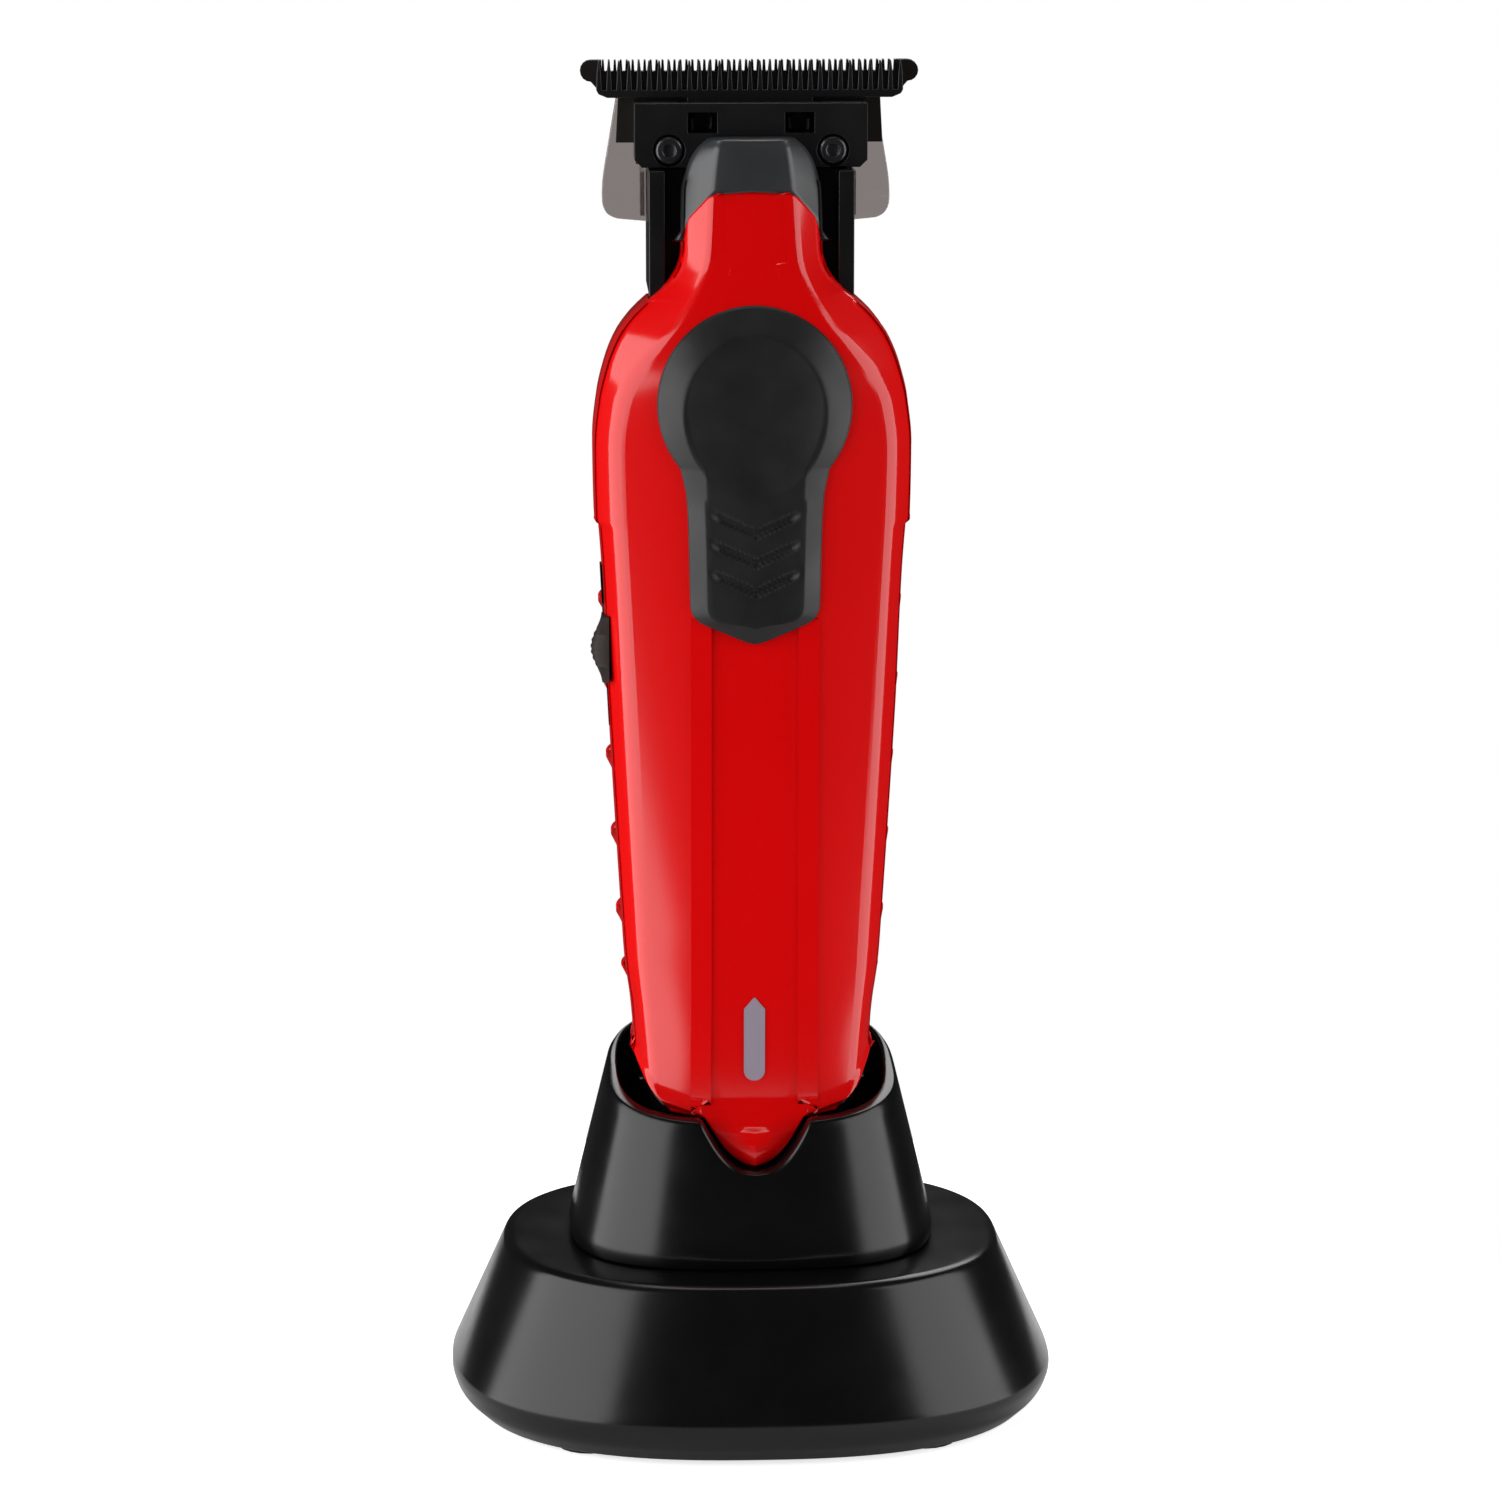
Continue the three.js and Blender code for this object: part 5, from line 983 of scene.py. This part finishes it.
def pad_place(column, row):
    rim = PAD_LOOP[column]
    spine = Vector((0, min(max(rim.y, 115.5), HEAD_Z)))
    if row == 0:
        return rim.x, front_surface(rim.x, rim.y) + 0.6, rim.y
    share = ((row - 1) / (PAD_ROWS - 2)) ** 1.15
    spot = rim.lerp(spine, share)
    inward = (rim - spot).length * (0.9 if rim.y > 131 else 1.0)
    flatter = 0.55 * (front_surface(spot.x, spot.y) - front_surface(0, spot.y)) * min(1.0, inward / 3.0)
    y = front_surface(spot.x, spot.y) - flatter - pad_height(spot.x, spot.y, inward)
    return spot.x, y, spot.y


pad_bm = skin(PAD_COLUMNS, PAD_ROWS, pad_place, loop=True)
outward(pad_bm)
facing_out(pad_bm, 1, -1)
keep(pad_bm, "thumb_pad", PAD_RUBBER, "clipper", ["thumb_rest"], angle=40)

# %% [markdown]
# ## Slabs
# The guard and the light window are outlines with a thickness. A circle of edges moved onto the outline,
# filled, extruded and rounded makes each one.

# %% Slab helper and the smoked guard
def slab(outline, y_front, y_back, rounding, segments=3):
    """A plate seen from the front, from an outline of (x, z), between two y values."""
    bm = bmesh.new()
    ring = bmesh.ops.create_circle(bm, segments=len(outline), radius=1, cap_ends=True)["verts"]
    for vert, (x, z) in zip(ring, outline):
        vert.co = Vector((x, y_front, z)) * MM
    face = bm.faces[:][0]
    moved = bmesh.ops.extrude_face_region(bm, geom=[face])["geom"]
    for item in moved:
        if isinstance(item, bmesh.types.BMVert):
            item.co.y = y_back * MM
    outward(bm)
    if rounding:
        round_edges(bm, rounding, segments, angle=60)
    return bm


def guard_outline():
    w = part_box("blade_guard")[1].x / MM
    corners = [(14.0, 165.1), (w, 165.6), (w, 170.5), (17.9, 182.0)]
    half = [Vector((0, 165.1))] + eased_corners(corners, [3.9, 2.2], steps=10) + [Vector((0, 182.0))]
    return [(p.x, p.y) for p in half] + [(-p.x, p.y) for p in reversed(half[1:-1])]


GUARD_THICK = 1.4
CLIP_LOW_Z, CLIP_HIGH_Z = 166.6, 172.6
guard_low, guard_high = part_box("blade_guard")
guard_bm = slab(guard_outline(), guard_high.y / MM - GUARD_THICK, guard_high.y / MM, 0.25)
clip_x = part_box("head_frame")[1].x / MM + 0.3
for side in (-1, 1):
    made = bmesh.ops.create_cube(guard_bm, size=1)["verts"]
    for vert in made:
        vert.co = Vector((
            side * (clip_x + 0.3 + vert.co.x * 0.6),
            lerp(guard_low.y / MM, guard_high.y / MM - 1.2, vert.co.y + 0.5),
            lerp(CLIP_LOW_Z, CLIP_HIGH_Z, vert.co.z + 0.5),
        )) * MM
bmesh.ops.recalc_face_normals(guard_bm, faces=guard_bm.faces)
keep(guard_bm, "smoked_guard", SMOKED_CLEAR, "guard_group", ["blade_guard"], angle=40)

# %% [markdown]
# ## Light window
# A small clear window with a pointed top shows the charge. It sits in the channel, just proud of its floor.

# %% Light window
window_low, window_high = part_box("led_window")


def window_outline():
    half = window_high.x / MM
    low, high = window_low.z / MM, window_high.z / MM
    turns = [math.pi / 2 * step / 8 for step in range(9)]
    right = [(half * math.sin(turn), low + half * (1 - math.cos(turn))) for turn in turns]
    right += [(half, high - 1.6), (0.12, high)]
    return right + [(-x, z) for x, z in reversed(right[1:])]


window_bm = slab(window_outline(), window_low.y / MM, window_high.y / MM, 0.12)
for vert in window_bm.verts:
    if vert.co.y < (window_low.y + window_high.y) / 2:
        vert.co.y = (front_surface(0, vert.co.z / MM) + 0.7) * MM
keep(window_bm, "light_window", LENS_GREY, "clipper", ["led_window"], angle=40)

# %% [markdown]
# ## Power slide
# A smoky brown slide runs in a strip on the left edge. Its bump is a long dome with fine ribs across for
# the thumb. A stretched sphere would do for a smooth one; a skin whose rows are pushed in and out also
# makes the ribs.

# %% Power slide and its strip
slide_low, slide_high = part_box("power_slider")
BUMP_Y, BUMP_HALF_DEEP, BUMP_HALF_TALL = -8.0, 2.4, 4.6
BUMP_COLUMNS, BUMP_ROWS = 17, 73
STRIP_EDGE_Y, STRIP_TRIM = -8.5, 1.9


def slide_bump():
    base_x = -20.55
    strip_x = -19.6
    middle = (slide_low + slide_high) / 2 / MM
    reach = base_x - slide_low.x / MM - 0.05

    def place(column, row):
        across, along = column / (BUMP_COLUMNS - 1) * 2 - 1, row / (BUMP_ROWS - 1) * 2 - 1
        bell = (0.5 + 0.5 * math.cos(math.pi * along)) ** 0.8
        ribs = 0.07 * math.sin(along * 34) * (1 - ease((abs(along) - 0.45) / 0.2))
        rise = (reach * bell + ribs) * max(0.0, 1 - across ** 2) ** 0.5
        on_border = abs(across) == 1 or abs(along) == 1
        x = strip_x if on_border else base_x - rise
        return x, BUMP_Y + across * BUMP_HALF_DEEP, middle.z + along * BUMP_HALF_TALL

    bm = skin(BUMP_COLUMNS, BUMP_ROWS, place)
    bmesh.ops.holes_fill(bm, edges=bm.edges, sides=0)
    bmesh.ops.recalc_face_normals(bm, faces=bm.faces)
    facing_out(bm, 0, -1)
    return bm


keep(slide_bump(), "power_slide", SLIDE_BROWN, "switch_group", ["power_slider"], angle=50)
strip_bm = softened("slider_bezel", 0.12)
for vert in strip_bm.verts:
    if vert.co.y < STRIP_EDGE_Y * MM:
        vert.co.y += STRIP_TRIM * MM
flat_faces(keep(strip_bm, "slide_strip", SLIDE_BROWN, "clipper", ["slider_bezel"]))

# %% [markdown]
# ## Head and blades
# The black frame, the bracket, the two combs and the screws are prismatic parts, so the engineering solids
# already have their shape. Rejoining their flat faces and rounding the edges a little is what makes them
# catch the light.

# %% Head and blades
for node, name, width in (("head_frame", "head_block", 0.45), ("blade_bracket", "bracket", 0.3)):
    flat_faces(keep(softened(node, width, 3), name, HEAD_BLACK, "clipper", [node]))


def comb(node, taper_from, count, fill, half, width):
    """A comb whose teeth narrow towards their tips above a height."""
    bm = softened(node, width, 2)
    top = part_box(node)[1].z
    pitch = 2 * half / (count - 1 + fill)
    first = half - pitch * fill / 2
    bmesh.ops.bisect_plane(bm, geom=bm.verts[:] + bm.edges[:] + bm.faces[:],
                           plane_co=(0, 0, taper_from * MM), plane_no=(0, 0, 1), dist=1e-6)
    for vert in bm.verts:
        x, z = vert.co.x / MM, vert.co.z
        if z > taper_from * MM + 1e-5 and abs(x) < half:
            centre = first - round((first - x) / pitch) * pitch
            share = (z - taper_from * MM) / (top - taper_from * MM)
            vert.co.x = (centre + (x - centre) * lerp(1.0, 0.45, share)) * MM
    return bm


STEP_FROM, STEP_TO, STEP_TOP_Z, STEP_SPREAD = 16.0, 19.0, 182.0, 1.022
TAB_FROM, TAB_TO, TAB_LOW_Z = 20.6, 20.4, 185.0
rear_bm = softened("fixed_blade", 0.1, 2)
for vert in rear_bm.verts:
    if STEP_FROM * MM < abs(vert.co.x) < STEP_TO * MM and vert.co.z < STEP_TOP_Z * MM:
        vert.co.x *= STEP_SPREAD
    if abs(vert.co.x) > TAB_FROM * MM and vert.co.z < TAB_LOW_Z * MM:
        vert.co.x = math.copysign(TAB_TO * MM, vert.co.x)
flat_faces(keep(rear_bm, "rear_comb", BLADE_WARM, "clipper", ["fixed_blade"]))
front_bm = comb("moving_cutter", taper_from=186.6, count=31, fill=0.55, half=20.75, width=0.12)
flat_faces(keep(front_bm, "front_comb", BLADE_BLACK, "cutter_group", ["moving_cutter"]))
for side in ("left", "right"):
    keep(softened("blade_screw_" + side, 0.1, 2), "head_screw_" + side, SCREW_BLACK, "clipper",
         ["blade_screw_" + side])

# %% [markdown]
# ## Pieces whose engineering shape is final
# The spring, the contacts and everything inside keep their engineering shape and get their finish here.

# %% Finishes for the remaining pieces
FINISH_OF_SLOT = {
    "black_satin": SATIN_BLACK, "black_head": HEAD_BLACK,
    "zinc_steel": ZINC_STEEL, "foot_rubber": FOOT_RUBBER,
    "board_green": BOARD_GREEN, "chassis_grey": CHASSIS_GREY,
    "gold_contact": GOLD_CONTACT, "red_gloss": GLOSS_RED,
    "screw_steel": SCREW_BLACK, "collar_grey": COLLAR_GREY, "pad_rubber": PAD_RUBBER, "lens_grey": LENS_GREY,
    "slider_black": SLIDE_BROWN, "cell_blue": CELL_BLUE, "nickel_tab": NICKEL_STRIP, "led_white": LED_WHITE,
    "magnet_grey": MAGNET_GREY, "drive_white": DRIVE_WHITE,
    "copper_rotor": COPPER_ROTOR, "warm_blade": BLADE_WARM,
    "dark_blade": BLADE_BLACK, "spring_steel": SPRING_WIRE, "smoke_clear": SMOKED_CLEAR,
}
SLOT_OF_NODE = {entry["node"]: entry["material_slot"] for entry in frame["record"]["subparts"]}
for node, thing in frame["nodes"].items():
    material = FINISH_OF_SLOT[SLOT_OF_NODE[node]]
    if thing.data.materials:
        thing.data.materials[0] = material
    else:
        thing.data.materials.append(material)
print("engineering nodes finished", len(frame["nodes"]))
